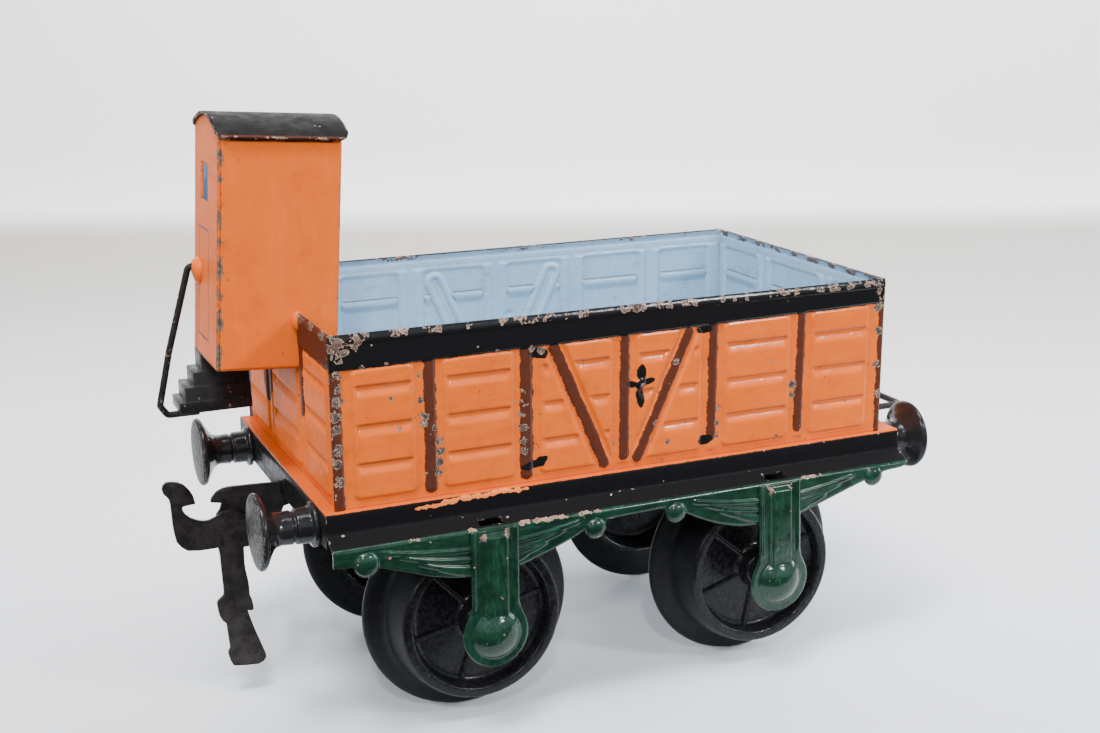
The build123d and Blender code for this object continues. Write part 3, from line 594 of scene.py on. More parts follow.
def seg_dist(x, z, a, b):
    ax, az = a
    bx, bz = b
    dx, dz = bx - ax, bz - az
    L2 = dx * dx + dz * dz
    t = np.clip(((x - ax) * dx + (z - az) * dz) / L2, 0, 1)
    return np.hypot(x - ax - t * dx, z - az - t * dz), t


GROOVES = [(65.95, 1.85), (59.2, 1.85), (52.5, 1.7)]
INTERVALS = [(-56.0, -48.2), (-45.8, -41.0), (-39.7, -35.7), (-31.8, -30.0), (-28.2, -26.5), (-25.8, -14.7), (-13.7, -8.6), (-2.6, 7.9),
             (9.1, 13.2), (17.3, 18.6), (19.4, 21.1), (21.9, 23.6), (27.4, 34.2), (37.5, 43.4), (44.1, 53.1)]
SPOTS = [(-45.2, 63.4, .55), (-43.8, 58.1, .6), (-40.0, 66.9, .6), (-39.9, 62.5, .7), (-39.4, 59.7, 1.1), (-39.5, 58.2, 1.0), (-37.5, 57.5, .7),
         (-36.8, 54.9, 1.0), (-36.6, 53.1, 1.0), (-36.8, 51.3, 1.0), (-37.0, 49.1, .9), (-21.2, 61.8, .9), (-21.1, 59.7, .9), (-21.3, 57.5, 1.1),
         (-21.2, 55.3, 1.1), (-21.2, 53.2, 1.1), (-21.2, 51.1, .9), (-19.6, 69.2, .9), (-17.7, 68.8, .8), (-53.9, 73.2, 2.4), (-54.2, 71.4, 1.4),
         (-54.3, 68.4, 1.2), (-54.2, 66.1, 1.1), (-54.4, 63.8, 1.3), (-54.6, 61.5, 1.3), (-54.8, 59.2, 1.2), (-54.9, 55.7, 1.3),
         (-55.0, 53.3, 1.1), (-54.6, 50.0, 1.4), (1.8, 60.5, .5), (8.7, 63.8, .8), (4.4, 53.0, .7), (7.1, 49.1, .7), (17.5, 54.1, .8),
         (17.3, 51.3, .8), (17.3, 48.8, .7), (33.6, 56.6, .9), (33.5, 54.6, .8), (52.0, 69.8, 1.3), (52.6, 65.2, 1.0), (52.4, 58.4, 1.0), (52.7, 52.6, .9),
         (-51.0, 74.0, 1.5), (52.6, 72.5, 1.4), (-50.0, 69.4, .7), (-45.6, 69.6, .6), (-26.0, 69.6, .5), (30.0, 47.0, .5)]


def blobs(x, z, spots, k=1.0):
    w = np.zeros_like(x)
    for bx, bz, br in spots:
        w = np.maximum(w, smooth(1.35 - np.hypot(x - bx, z - bz) / (br * 1.25 * k)))
    return w


def bars(x, intervals):
    w = np.zeros_like(x)
    for a, b in intervals:
        w = np.maximum(w, smooth((np.minimum(x - a, b - x) + 0.5) / 1.0))
    return w


def relief(x, z, bays, stanch, diags, boss=None, zj=None):
    zj = np.full_like(x, JOG) if zj is None else zj
    groove_shade = np.zeros_like(x)
    dd = np.full_like(x, 9.0)
    for a, b in diags:
        d, t = seg_dist(x, z, a, b)
        dd = np.minimum(dd, d)
    h = np.zeros_like(x)
    for (x0, x1) in bays:
        # a raised field with rounded corners between two stanchions
        cx, hx = (x0 + x1) / 2, (x1 - x0) / 2
        zt = zj + 0.1
        cz, hz = (46.3 + zt) / 2, (zt - 46.3) / 2
        qx, qz = np.abs(x - cx) - hx + 1.3, np.abs(z - cz) - hz + 1.3
        sd = 1.3 - np.hypot(np.maximum(qx, 0), np.maximum(qz, 0)) - np.minimum(np.maximum(qx, qz), 0)
        field = 0.46 * smooth(sd / 0.62) * smooth((dd - 1.5) / 0.75)
        # three grooves between its boards, closing before the ends of the field
        cut = np.zeros_like(x)
        e0 = np.minimum(x - (x0 + 0.9), (x1 - 0.9) - x)
        e0 = np.minimum(e0, dd - 2.4)
        for zt_, L in GROOVES:
            tt = np.clip((z - (zt_ - L)) / L, 0, 1)
            end = smooth((e0 + 0.35 * tt) / 0.85)
            lowr = 0.66 * tt ** 1.3 * np.where(z > zt_, 1 - smooth((z - zt_) / 0.42), 1.0)
            cut = np.maximum(cut, lowr * end)
            # painted shade: a thin dark line just above each groove, where the board above casts its shadow
            groove_shade = np.maximum(groove_shade, np.exp(-((z - zt_ - 0.20) / 0.20) ** 2) * end * (field > 0.3))
        h = np.maximum(h, field - cut * (field > 0.02))
    for xs in stanch:
        h = np.maximum(h, 0.34 * smooth((1.35 - np.abs(x - xs)) / 0.7) * smooth((z - 45.8) / 0.8))
    for a, b in diags:
        d, t = seg_dist(x, z, a, b)
        h = np.maximum(h, 0.36 * smooth((1.40 - d) / 0.7))
    if boss is not None:
        bx, bz, br = boss
        d = np.hypot(x - bx, z - bz)
        h = np.maximum(h, 0.72 * smooth((br - d) / (br * 0.75)))
    # the rail: a plain band, its upper edge rolled over
    j = smooth((z - zj + 0.25) / 0.5)
    band = 0.46 + 0.10 * smooth((z - 73.3) / 0.5)
    band = band - 0.42 * np.clip((z - 73.9) / 1.3, 0, 1) ** 2
    h = h * (1 - j) + j * band
    # painted shade also runs along the rail's joggle line
    groove_shade = np.maximum(groove_shade * (1 - j), 0.8 * np.exp(-((z - zj - 0.05) / 0.22) ** 2))
    return h, groove_shade


def ellipse_sd(x, z, cx, cz, rx, rz, ang=0.0):
    c, s = math.cos(math.radians(ang)), math.sin(math.radians(ang))
    u, v = (x - cx) * c + (z - cz) * s, -(x - cx) * s + (z - cz) * c
    k = np.sqrt((u / rx) ** 2 + (v / rz) ** 2)
    return (1 - k) * min(rx, rz)


def side_wall(s, node):
    dx = 0.22
    xs = np.arange(X0 - 0.5, X1 + 0.5 + dx / 2, dx)
    zs = np.concatenate([np.arange(FLOOR, 73.0, 0.22), np.arange(73.0, RIM + 0.01, 0.11)])
    zs[-1] = RIM
    x, z = np.meshgrid(xs, zs, indexing="ij")
    m = 1.0 if s < 0 else -1.0          # the far wall's planks mirror the near wall's
    zb = 69.0 + (x - X0) / (X1 - X0) * 1.35
    h, g = relief(x, z, BAYS, STANCH, DIAG, boss=(1.55, 60.8, 1.7), zj=(zb + 0.15) if s < 0 else None)
    # the wall's ends turn the corner
    e = np.minimum(x - (X0 - 0.5), (X1 + 0.5) - x)
    h = np.where(e < 2.2, np.maximum(h, 0.36 * smooth((2.2 - e) / 0.9)), h)
    h = h - 0.30 * (1 - smooth(e / 0.55)) ** 2
    # slight unevenness of old sheet
    wob = 0.05 * np.sin(x * 0.11 + 0.7) * np.sin(z * 0.13 + 1.0)
    y = s * (BY + h + wob * smooth(e / 6))
    black = z - zb
    for cx, cz, rx, rz, an in ((-18.4, 68.4, 1.9, 1.0, -10), (-19.6, 48.2, 2.3, 0.75, 8), (-18.0, 48.8, 1.3, 0.8, 35), (14.4, 69.2, 1.6, 0.8, 0),
                               (14.8, 48.3, 1.5, 0.95, 10), (1.6, 62.6, 0.95, 1.75, 0), (1.4, 58.3, 0.85, 2.0, 4), (0.2, 60.5, 1.35, 0.62, -12),
                               (3.0, 60.9, 1.35, 0.6, 10), (1.5, 60.6, 0.9, 0.8, 0)):
        black = np.maximum(black, ellipse_sd(x, z, cx, cz, rx, rz, an))
    brown = np.full_like(x, -9.0)
    for k, c in enumerate(STANCH):
        lo = [45.9, 46.0, 46.6, 48.0, 47.0][k]
        wd = [1.12, 1.25, 1.0, 1.0, 0.95][k]
        r, t = seg_dist(x, z, (c, lo + 1.0), (c + 0.25, 72.0))
        brown = np.maximum(brown, wd - r)
    for (a, b), wd in zip(DIAG, (1.05, 0.95)):
        r, t = seg_dist(x, z, a, b)
        brown = np.maximum(brown, wd - r)
    brown = np.maximum(brown, 1.9 - (x - (X0 - 0.5)))
    brown = np.maximum(brown, 1.5 - ((X1 + 0.5) - x))
    roll = smooth((z - 73.3) / 0.8)
    if s < 0:
        wear = np.maximum(bars(x, INTERVALS) * roll * (0.68 + 0.08 * np.sin(x * 1.7)), blobs(x, z, SPOTS) * 0.82)
    else:
        wear = np.maximum(smooth((z - 73.7) / 0.8) * 0.66 * (0.72 + 0.28 * np.sin(x * 0.35) * np.sin(x * 0.13 + 1)), blobs(x, z, SPOTS) * 0.5 * (z > 73))
        wear = np.maximum(wear, np.exp(-((z - 72.5) / 0.9) ** 2) * np.exp(-((x - 23.0) / 2.5) ** 2) * 0.8)
    wear = np.maximum(wear, 0.62 * (1 - smooth(e / 1.3)))
    n = make(node + "_pressed", np.stack([x, y, z], -1).reshape(-1, 3), grid(len(xs), len(zs), flip=(s > 0)),
             {"black": black, "brown": brown, "wear": wear, "groove_shade": g}, (WALL, INSIDE))
    solidify(n, 0.5, -1.0, mat_off=1, rim_off=0)
    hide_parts(node)
    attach(n, "wagon")
    return n


def end_wall(e, node):
    xb = X0 if e < 0 else X1
    half = BY - 0.52
    ys = np.arange(-half, half + 0.1, 0.235)
    ys[-1] = half
    zs = np.concatenate([np.arange(FLOOR, 73.0, 0.24), np.arange(73.0, RIM + 0.01, 0.12)])
    zs[-1] = RIM
    y, z = np.meshgrid(ys, zs, indexing="ij")
    h, g = relief(y, z, END_BAYS, [-11.8, 11.8], [], zj=np.full_like(y, 69.2) if e < 0 else None)
    x = xb + e * h
    black = z - (69.2 + 0.0 * y) if e > 0 else np.full_like(y, -9.0)
    brown = np.full_like(y, -9.0)
    if e < 0:
        brown = np.maximum(brown, z - 69.1)
        for c in (-11.8,):
            r, t = seg_dist(y, z, (c, 57.5), (c, 72.0))
            brown = np.maximum(brown, 1.1 - r)
        brown = np.maximum(brown, ellipse_sd(y, z, 13.5, 58.0, 3.0, 5.5))
    wear = smooth((z - 73.2) / 1.0) * (0.62 + 0.25 * np.sin(y * 0.9 + 1))
    wear = np.maximum(wear, 0.6 * (1 - smooth(np.minimum(y + half, half - y) / 1.2)))
    hole = None
    if e < 0:
        yc, zc = (y[:-1, :-1] + y[1:, 1:]) / 2, (z[:-1, :-1] + z[1:, 1:]) / 2
        hole = (zc > 64.95) & (yc > -11.25) & (yc < 8.75)
        wear = np.maximum(wear, 0.6 * (z > 65) * (1 - smooth(np.minimum(np.abs(y + 11.3), np.abs(y - 8.8)) / 0.9)))
    n = make(node + "_pressed", np.stack([x, y, z], -1).reshape(-1, 3), grid(len(ys), len(zs), hole, flip=(e < 0)),
             {"black": black, "brown": brown, "wear": wear, "groove_shade": g}, (WALLE if e < 0 else WALL, INSIDE))
    solidify(n, 0.5, -1.0, mat_off=1, rim_off=0)
    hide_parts(node)
    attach(n, "wagon")
    return n


side_wall(-1, "wall_near")
side_wall(1, "wall_far")
end_wall(-1, "wall_hut_end")
end_wall(1, "wall_plain_end")


def carried(ob, slotname, *nodes, body="wagon"):
    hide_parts(*nodes)
    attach(ob, body)
    return ob


# floor sheet keeps its CAD shape with a small edge radius
carried(from_cad("floor_sheet", "floor_painted", 0.08, 1, (INSIDE,)), "orange_enamel", "floor_sheet")

# ------------------------------------------------------------------ chassis pressing
BOSSES = [(-51.7, 36.5, 2.3), (-9.4, 36.3, 2.0), (6.8, 36.8, 2.0), (49.6, 37.6, 2.0)]
LOW = [(-57.4, 36.65), (-53.6, 36.35), (-49.6, 35.6), (-45.0, 34.1), (-40.5, 32.45), (-36.0, 31.4), (-32.0, 31.0), (-28.0, 31.05),
       (-23.2, 31.9), (-18.0, 33.6), (-13.2, 35.4), (-10.9, 36.7), (-7.6, 37.6), (4.6, 38.0), (6.8, 37.4), (10.8, 35.2),
       (15.0, 33.35), (20.0, 31.95), (26.5, 31.3), (32.0, 32.0), (38.0, 33.9), (45.2, 36.2), (49.6, 37.5), (52.5, 38.3),
       (56.3, 38.45), (57.4, 39.0)]
LOWX, LOWZ = np.array([p[0] for p in LOW]), np.array([p[1] for p in LOW])


def low_edge(x):
    z = np.interp(x, LOWX, LOWZ)
    # soften the corners of the contour
    zz = sum(np.interp(x + d, LOWX, LOWZ) for d in (-0.8, -0.4, 0.4, 0.8))
    z = (z + zz) / 5
    for bx, bz, br in BOSSES:
        d = np.abs(x - bx)
        ear = np.where(d < br, bz - np.sqrt(np.maximum(br * br - d * d, 0)), 99)
        z = np.minimum(z, ear)
    return z


def chassis_side(s):
    dx = 0.22
    xs = np.unique(np.concatenate([np.arange(-57.4, 57.41, dx)] + [np.array([g - 2.2, g + 2.2]) for g in GX] + [np.array([57.4])]))
    # section path: (y, z) with small bends, then the strip down to the lower contour
    path = [(0.0, 45.0), (8.0, 45.0), (16, 45.0), (24, 45.0), (29.0, 45.0), (30.5, 45.0), (31.2, 45.0), (31.62, 44.97), (31.88, 44.87), (32.03, 44.68), (32.1, 44.4),
            (32.1, 43.8), (32.1, 43.2), (32.1, 42.6), (32.1, 42.0), (32.1, 41.6), (32.13, 41.38), (32.22, 41.2), (32.4, 41.03), (32.8, 40.82), (33.25, 40.6)]
    slot0 = len(path) - 1
    path += [(33.8, 40.33), (34.3, 40.09), (34.8, 39.85)]
    slot1 = len(path) - 1
    path += [(35.15, 39.68), (35.38, 39.52), (35.52, 39.32), (35.6, 39.05)]
    P = np.array(path)
    nt = 46
    t = np.linspace(0, 1, nt + 1)[1:]
    X = np.repeat(xs[:, None], len(path) + nt, 1)
    Y = np.zeros_like(X)
    Z = np.zeros_like(X)
    Y[:, :len(path)] = P[:, 0]
    Z[:, :len(path)] = P[:, 1]
    zl = low_edge(xs)
    Z[:, len(path):] = 39.05 + (zl[:, None] - 39.05) * t[None, :]
    Y[:, len(path):] = 35.6
    x, z = X[:, len(path):], Z[:, len(path):]
    h = np.zeros_like(x)
    # curved leaves
    for cx, half, top, sag in ((-30.9, 19.0, 38.3, 2.2), (-30.9, 16.2, 37.3, 3.0), (-30.9, 12.6, 35.6, 2.9), (-30.9, 8.8, 34.0, 2.2),
                               (27.4, 18.0, 38.5, 2.2), (27.4, 15.2, 37.5, 3.0), (27.4, 12.0, 35.9, 2.9), (27.4, 8.2, 34.3, 2.0)):
        u = (x - cx) / half
        zc = top - sag * (1 - u * u)
        k = smooth((1.0 - np.abs(u)) / 0.12)
        h = np.maximum(h, 0.32 * k * smooth((0.62 - np.abs(z - zc)) / 0.38))
    for bx, bz, br in BOSSES:
        d = np.hypot(x - bx, z - bz)
        h = np.maximum(h, np.where(d < br * 0.98, 0.95 * np.sqrt(np.maximum(1 - (d / (br * 0.92)) ** 2, 0)) * smooth((br - d) / 0.3), 0))
    # the strip's lower edge curls in a little
    low = z - zl[:, None]
    h = h - 0.12 * (1 - smooth(low / 0.5))
    Y[:, len(path):] += h
    zz = np.repeat(Z[:1, :], len(xs), 0)
    # distances for paint
    cum = np.concatenate([[0], np.cumsum(np.hypot(np.diff(P[:, 0]), np.diff(P[:, 1])))])
    s_edge = np.interp(31.95, P[:10, 0], cum[:10])
    s_joint = cum[-4]
    S = np.zeros_like(X)
    S[:, :len(path)] = cum
    S[:, len(path):] = cum[-1] + (39.05 - z)
    orange = s_edge - S
    green = S - s_joint
    smear = np.full_like(X, -9.0)
    if s < 0:
        for a, b, r in (((-41.5, 43.6), (-34.0, 44.0), 0.30), ((-36.5, 44.2), (-27.0, 44.45), 0.42), ((-29.5, 44.5), (-21.0, 44.5), 0.30), ((-26.0, 44.9), (-22.5, 44.2), 0.28)):
            d, tt = seg_dist(X, Z, a, b)
            smear = np.maximum(smear, np.where(S > s_edge - 0.4, r - d, -9))
    endd = np.minimum(X + 57.4, 57.4 - X)
    wear = np.zeros_like(X)
    top = np.exp(-((S - s_joint - 0.3) / 0.75) ** 2)
    wear = np.maximum(wear, top * (0.42 + 0.45 * bars(X, [(-24.5, -14.5), (-12.5, -8.0), (-33.5, -31.5), (33.0, 38.0), (-44, -42)])))
    fold = np.interp(41.2, P[14:20, 1][::-1], cum[14:20][::-1])
    wear = np.maximum(wear, np.exp(-((S - fold) / 0.35) ** 2) * 0.44)
    wear = np.maximum(wear, np.exp(-((S - s_edge) / 0.4) ** 2) * 0.46)
    wear = np.maximum(wear, 0.60 * (1 - smooth(endd / 0.8)))
    wear = np.maximum(wear, np.where(S > cum[-1], 0.42 * (1 - smooth((Z - zl[:, None]) / 0.5)), 0))
    for bx, bz, br in BOSSES:
        wear = np.maximum(wear, np.where(S > cum[-1], 0.62 * np.exp(-(((X - bx) / (br * 0.8)) ** 2 + ((Z - bz + br * 0.75) / 0.8) ** 2)), 0))
    for g in GX:
        q = np.hypot(np.maximum(np.abs(X - g) - 2.2, 0), np.maximum(np.abs(S - (cum[slot0] + cum[slot1]) / 2) - 0.9, 0))
        wear = np.maximum(wear, 0.55 * (1 - smooth(q / 0.7)))
    hole = np.zeros((len(xs) - 1, X.shape[1] - 1), bool)
    xc = (xs[:-1] + xs[1:]) / 2
    for g in GX:
        hole[np.abs(xc - g) < 2.2, slot0:slot1] = True
    groove_shade = np.zeros_like(X)
    V = np.stack([X, s * Y, Z], -1).reshape(-1, 3)
    ob = make("chassis_side", V, grid(len(xs), X.shape[1], hole, flip=(s < 0)),
              {"orange": orange, "green": green, "smear": smear, "wear": wear}, (CHAS, UNDER))
    return ob


def join(name, obs):
    me = bpy.data.meshes.new(name)
    bm = bmesh.new()
    for o in obs:
        bm.from_mesh(o.data)
    bmesh.ops.remove_doubles(bm, verts=bm.verts, dist=1e-7)
    bm.to_mesh(me)
    bm.free()
    ob = bpy.data.objects.new(name, me)
    COL.objects.link(ob)
    for m in obs[0].data.materials:
        me.materials.append(m)
    for o in obs:
        bpy.data.objects.remove(o)
    me.polygons.foreach_set("use_smooth", [True] * len(me.polygons))
    return ob


ch = join("chassis_pressed", [chassis_side(-1), chassis_side(1)])
solidify(ch, 0.5, -1.0, mat_off=1)
carried(ch, "green_enamel", "chassis_plate")


# ------------------------------------------------------------------ axle guards with their domed caps
def guard(s, i, node_g, node_c):
    wx, gx = (-AX, AX)[i], GX[i]
    R = 6.15
    zs = np.concatenate([np.linspace(39.35, AZ, 88), AZ - R * np.sin(np.linspace(0, math.pi / 2, 30))[1:]])
    ts = np.linspace(-1, 1, 57)
    T, Z = np.meshgrid(ts, zs, indexing="ij")
    dz = Z - AZ
    circ = np.sqrt(np.maximum(R * R - dz * dz, 0))
    w = np.where(dz > 0, np.maximum(np.where(dz < R, circ, 0), 4.45), circ)
    # soft fillet where the strip meets the disc
    w = np.where((dz > 3.0) & (dz < 6.5), w + 0.35 * np.exp(-((dz - 4.4) / 0.9) ** 2), w)
    off = np.interp(Z, [AZ + 3, 39.3], [0.0, gx - wx])
    xl = T * w
    d = np.hypot(xl, dz)
    h = np.zeros_like(T)
    # rib down the middle
    rib = smooth((2.45 - np.abs(xl)) / 0.55) * smooth((38.9 - Z) / 0.9) * (dz > -1)
    h = np.maximum(h, 0.85 * rib)
    # raised edge flanges of the strip
    h = np.maximum(h, 0.22 * smooth((np.abs(xl) - 3.4) / 0.6) * smooth((dz - 4.5) / 1.5))
    # dome over the axle end
    Rd, Hd = 4.55, 2.1
    big = (Rd * Rd + Hd * Hd) / (2 * Hd)
    dome = np.where(d < Rd, Hd - big + np.sqrt(np.maximum(big * big - d * d, 0)), 0)
    skirt = 0.30 * np.exp(-((d - Rd) / 0.35) ** 2)
    h = np.maximum(h, dome + np.where(d < Rd, 0, 0))
    kk = 3.0
    h = np.log(np.exp(kk * h) + np.exp(kk * 0.85 * rib) + np.exp(kk * dome) - 2) / kk if False else h
    # rolled outer rim
    rimd = np.minimum(w - np.abs(xl), 99)
    h = h - 0.22 * (1 - smooth(rimd / 0.4))
    X = wx + off + xl
    Y = s * (35.6 + 0.5 + h)
    wear = 0.40 * (1 - smooth(rimd / 0.6))
    wear = np.maximum(wear, 0.72 * smooth((Z - 35.5) / 2.5) * np.exp(-((np.abs(xl) - 2.2) / 1.1) ** 2))
    wear = np.maximum(wear, 0.66 * np.exp(-((xl - 0.6) / 0.9) ** 2 - ((Z - 26.8) / 1.2) ** 2))
    ob = make(node_g + "_pressed", np.stack([X, Y, Z], -1).reshape(-1, 3), grid(len(ts), len(zs), flip=(s < 0)), {"wear": wear}, (GRN,))
    bm = bmesh.new()
    bm.from_mesh(ob.data)
    bmesh.ops.remove_doubles(bm, verts=bm.verts, dist=1e-6)
    bm.to_mesh(ob.data)
    bm.free()
    solidify(ob, 0.48, -1.0)
    carried(ob, "green_enamel", node_g, node_c)


for s, side in ((-1, "near"), (1, "far")):
    for i, end in ((0, "left"), (1, "right")):
        guard(s, i, f"axle_guard_{side}_{end}", f"axle_cap_{side}_{end}")


# ------------------------------------------------------------------ wheels
def wheel(s, i, node, turn):
    wx = (-AX, AX)[i]
    pts = [(18.5, 1.25), (18.5, 3.6), (24.4, 3.9), (25.0, 12.2), (19.9, 13.1), (19.5, 13.8), (19.5, 19.0), (19.9, 19.65), (20.55, 19.84), (21.2, 19.65),
           (21.7, 19.0), (22.2, 16.9), (23.0, 16.2), (29.0, 15.1), (29.57, 14.7), (29.57, 13.2), (28.6, 12.75), (27.3, 12.5), (26.9, 11.8),
           (27.05, 4.6), (27.6, 3.9), (29.9, 3.5), (30.2, 3.1), (30.2, 1.25)]
    rad = [0, .4, .8, .8, .5, .4, .3, .3, .3, .3, .4, .7, .6, .4, .35, .4, .4, .6, .6, .9, .5, .4, .3, 0]
    prof = round_profile(pts, rad, 4)
    ob = revolve(node + "_cast", prof, (wx, 0, AZ), (0, s, 0), 128, (WHL,))
    al = np.zeros(len(ob.data.vertices))
    # spokes: six thin ribs with rounded backs
    verts, faces = [], []
    for k in range(6):
        a = math.radians(turn + 60 * k)
        rs = np.linspace(3.0, 12.7, 16)
        sec = [(-0.62, 0.0), (-0.46, 0.36), (-0.20, 0.58), (0.0, 0.63), (0.20, 0.58), (0.46, 0.36), (0.62, 0.0)]
        base = len(verts)
        for r in rs:
            foot = 26.85
            hh = 1.15 if r > 3.5 else 1.15
            for (wd, hf) in sec:
                wdd = wd * (1.0 + 0.25 * (abs(r - 8) / 5) ** 2)
                px, pz = r * math.cos(a) - wdd * math.sin(a), r * math.sin(a) + wdd * math.cos(a)
                verts.append((wx + px, s * (foot + hf * hh), AZ + pz))
        ns = len(sec)
        for q in range(len(rs) - 1):
            for j in range(ns - 1):
                f = (base + q * ns + j, base + (q + 1) * ns + j, base + (q + 1) * ns + j + 1, base + q * ns + j + 1)
                faces.append(f)
        faces.append(tuple(base + j for j in range(ns)))
        faces.append(tuple(base + (len(rs) - 1) * ns + j for j in range(ns)))
    sp = make("spokes", verts, faces, {}, (WHL,))
    bm = bmesh.new()
    bm.from_mesh(ob.data)
    bm.from_mesh(sp.data)
    bmesh.ops.recalc_face_normals(bm, faces=bm.faces)
    bm.to_mesh(ob.data)
    bm.free()
    bpy.data.objects.remove(sp)
    me = ob.data
    if "tread" not in me.attributes:
        me.attributes.new("tread", "FLOAT", "POINT")
    co = np.zeros(len(me.vertices) * 3)
    me.vertices.foreach_get("co", co)
    co = co.reshape(-1, 3) / MM
    r = np.hypot(co[:, 0] - wx, co[:, 2] - AZ)
    me.attributes["tread"].data.foreach_set("value", ((r > 14.9) & (np.abs(co[:, 1]) < 29.3)).astype(np.float32))
    shade(ob, 50)
    body = "wheelset_left" if i == 0 else "wheelset_right"
    carried(ob, "wheel_iron", node, body=body)


for s, side in ((-1, "near"), (1, "far")):
    for i, end in ((0, "left"), (1, "right")):
        wheel(s, i, f"wheel_{side}_{end}", 13 if (s, i) == (-1, 0) else 20)


def axle(i, node):
    wx = (-AX, AX)[i]
    prof = round_profile([(-37.3, 0.001), (-37.3, 0.9), (-37.0, 1.2), (37.0, 1.2), (37.3, 0.9), (37.3, 0.001)], 0.15, 3)
    ob = revolve(node + "_turned", prof, (wx, 0, AZ), (0, 1, 0), 40, (AXLE,))
    shade(ob, 40)
    carried(ob, "axle_steel", node, body=("wheelset_left", "wheelset_right")[i])


axle(0, "axle_left")
axle(1, "axle_right")


# ------------------------------------------------------------------ buffers
def buffer(e, s, face, node):
    L = face - 57.4
    pts = [(-1.4, 0.001), (-1.4, 1.6), (-1.1, 2.2), (-0.5, 2.2), (-0.5, 1.48), (0.0, 1.48), (0.0, 4.0), (0.75, 4.0), (1.0, 3.15), (3.45, 3.1), (3.7, 2.72),
           (4.05, 2.72), (4.25, 3.0), (L - 4.6, 2.85), (L - 3.4, 3.2), (L - 2.3, 4.9), (L - 1.55, 6.35), (L - 1.15, 6.7), (L - 0.7, 6.68), (L - 0.38, 6.35),
           (L - 0.22, 5.0), (L - 0.06, 2.5), (L - 0.0, 0.001)]
    rad = [0, .2, .3, .1, .05, .05, .25, .3, .35, .25, .2, .2, .3, 1.2, 1.2, 1.2, .5, .3, .25, .35, 1.0, 1.0, 0]
    prof = round_profile(pts, rad, 4)
    prof = [(a, max(r, 0.001)) for a, r in prof]
    ob = revolve(node + "_turned", prof, (e * 57.4, s * 24.25, 40.9), (e, 0, 0), 96, (BUF,))
    me = ob.data
    me.attributes.new("face", "FLOAT", "POINT")
    co = np.zeros(len(me.vertices) * 3)
    me.vertices.foreach_get("co", co)
    co = co.reshape(-1, 3) / MM
    u = co[:, 0] * e - 57.4
    worn = smooth((u - (L - 1.15)) / 0.9)
    if e > 0:
        worn = worn * 0.12
    me.attributes["face"].data.foreach_set("value", worn.astype(np.float32))
    shade(ob, 50)
    carried(ob, "black_enamel", node)


for e, end, face in ((-1, "left", 68.2), (1, "right", 66.2)):
    for s, side in ((-1, "near"), (1, "far")):
        buffer(e, s, face, f"buffer_{side}_{end}")

for node in ("buffer_beam_left", "buffer_beam_right"):
    carried(from_cad(node, node + "_painted", 0.1, 2, (BEAM,)), "black_enamel", node)

# ------------------------------------------------------------------ hut
th = math.radians(3.85)
HU = np.array([math.cos(th), 0, -math.sin(th)])
HW = np.array([math.sin(th), 0, math.cos(th)])
HO = np.array([-69.8, 0, 66.1])
HL, V0, V1 = 21.4, -11.2, 8.7
VC = (V0 + V1) / 2
APEX, RR = 42.9, 19.7


def hut_xyz(u, v, w):
    u, v, w = np.broadcast_arrays(u, v, w)
    p = HO + u[..., None] * HU + w[..., None] * HW
    p[..., 1] = v
    return p


def top_w(v):
    return APEX - RR + np.sqrt(RR * RR - (v - VC) ** 2) - 0.02


def hut_wrap():
    r = 0.7
    pts = []
    for u in np.arange(0.52, HL - r, 0.5):
        pts.append((u, V0, u - 0.5))
    for k in range(7):
        a = math.pi / 2 * k / 6
        pts.append((HL - r + r * math.sin(a), V0 + r - r * math.cos(a), 0))
    for v in np.arange(V0 + r + 0.4, V1 - r, 0.5):
        pts.append((HL, v, 0))
    for k in range(7):
        a = math.pi / 2 * k / 6
        pts.append((HL - r + r * math.cos(a), V1 - r + r * math.sin(a), 0))
    for u in np.arange(HL - r, 0.52, -0.5):
        pts.append((u, V1, 0))
    pts.append((0.52, V1, 0))
    U = np.array([p[0] for p in pts])
    V = np.array([p[1] for p in pts])
    nw = 70
    T = np.linspace(0, 1, nw)
    wt = top_w(V)
    W = wt[:, None] * T[None, :]
    UU = np.repeat(U[:, None], nw, 1)
    VV = np.repeat(V[:, None], nw, 1)
    # the sheet is left flat: belly is zero and not applied
    near = (VV == V0)
    belly = 0.0
    P = hut_xyz(UU, VV + 0.0, W)
    du = np.where(np.abs(VV - V0) < 0.01, UU - 0.5, 9)
    lw = np.interp(W, [0, 2, 5, 12, 18, 22, 30, 36, 41], [0.8, 0.75, 0.62, 0.66, 0.7, 0.5, 0.5, 0.62, 0.6])
    wear = (lw + 0.16) * (1 - smooth((du - 0.15) / 0.85))
    wear = np.maximum(wear, 0.55 * (1 - smooth(W / 0.7)))
    # the inner upright corner shows bare metal too
    dd = np.hypot(UU - HL, VV - V0)
    wear = np.maximum(wear, 0.60 * (1 - smooth((dd - 0.25) / 0.6)))
    dark = np.where(np.abs(VV - V0) < 0.01, W - (wt[:, None] - 0.75 + 0.06 * np.sin(UU * 0.9)), -1.0)
    dark = np.where((UU > 1.6) & (UU < HL - 1.5), dark, -1)
    ob = make("hut_wrap_folded", P.reshape(-1, 3), grid(len(pts), nw), {"wear": wear, "door": np.full(UU.shape, 9.0), "dark": dark,
              "groove_shade": np.zeros(UU.shape), "hollow": np.zeros(UU.shape)}, (HUT, INSIDE))
    solidify(ob, 0.5, -1.0, mat_off=1)
    carried(ob, "orange_enamel", "hut_wrap")


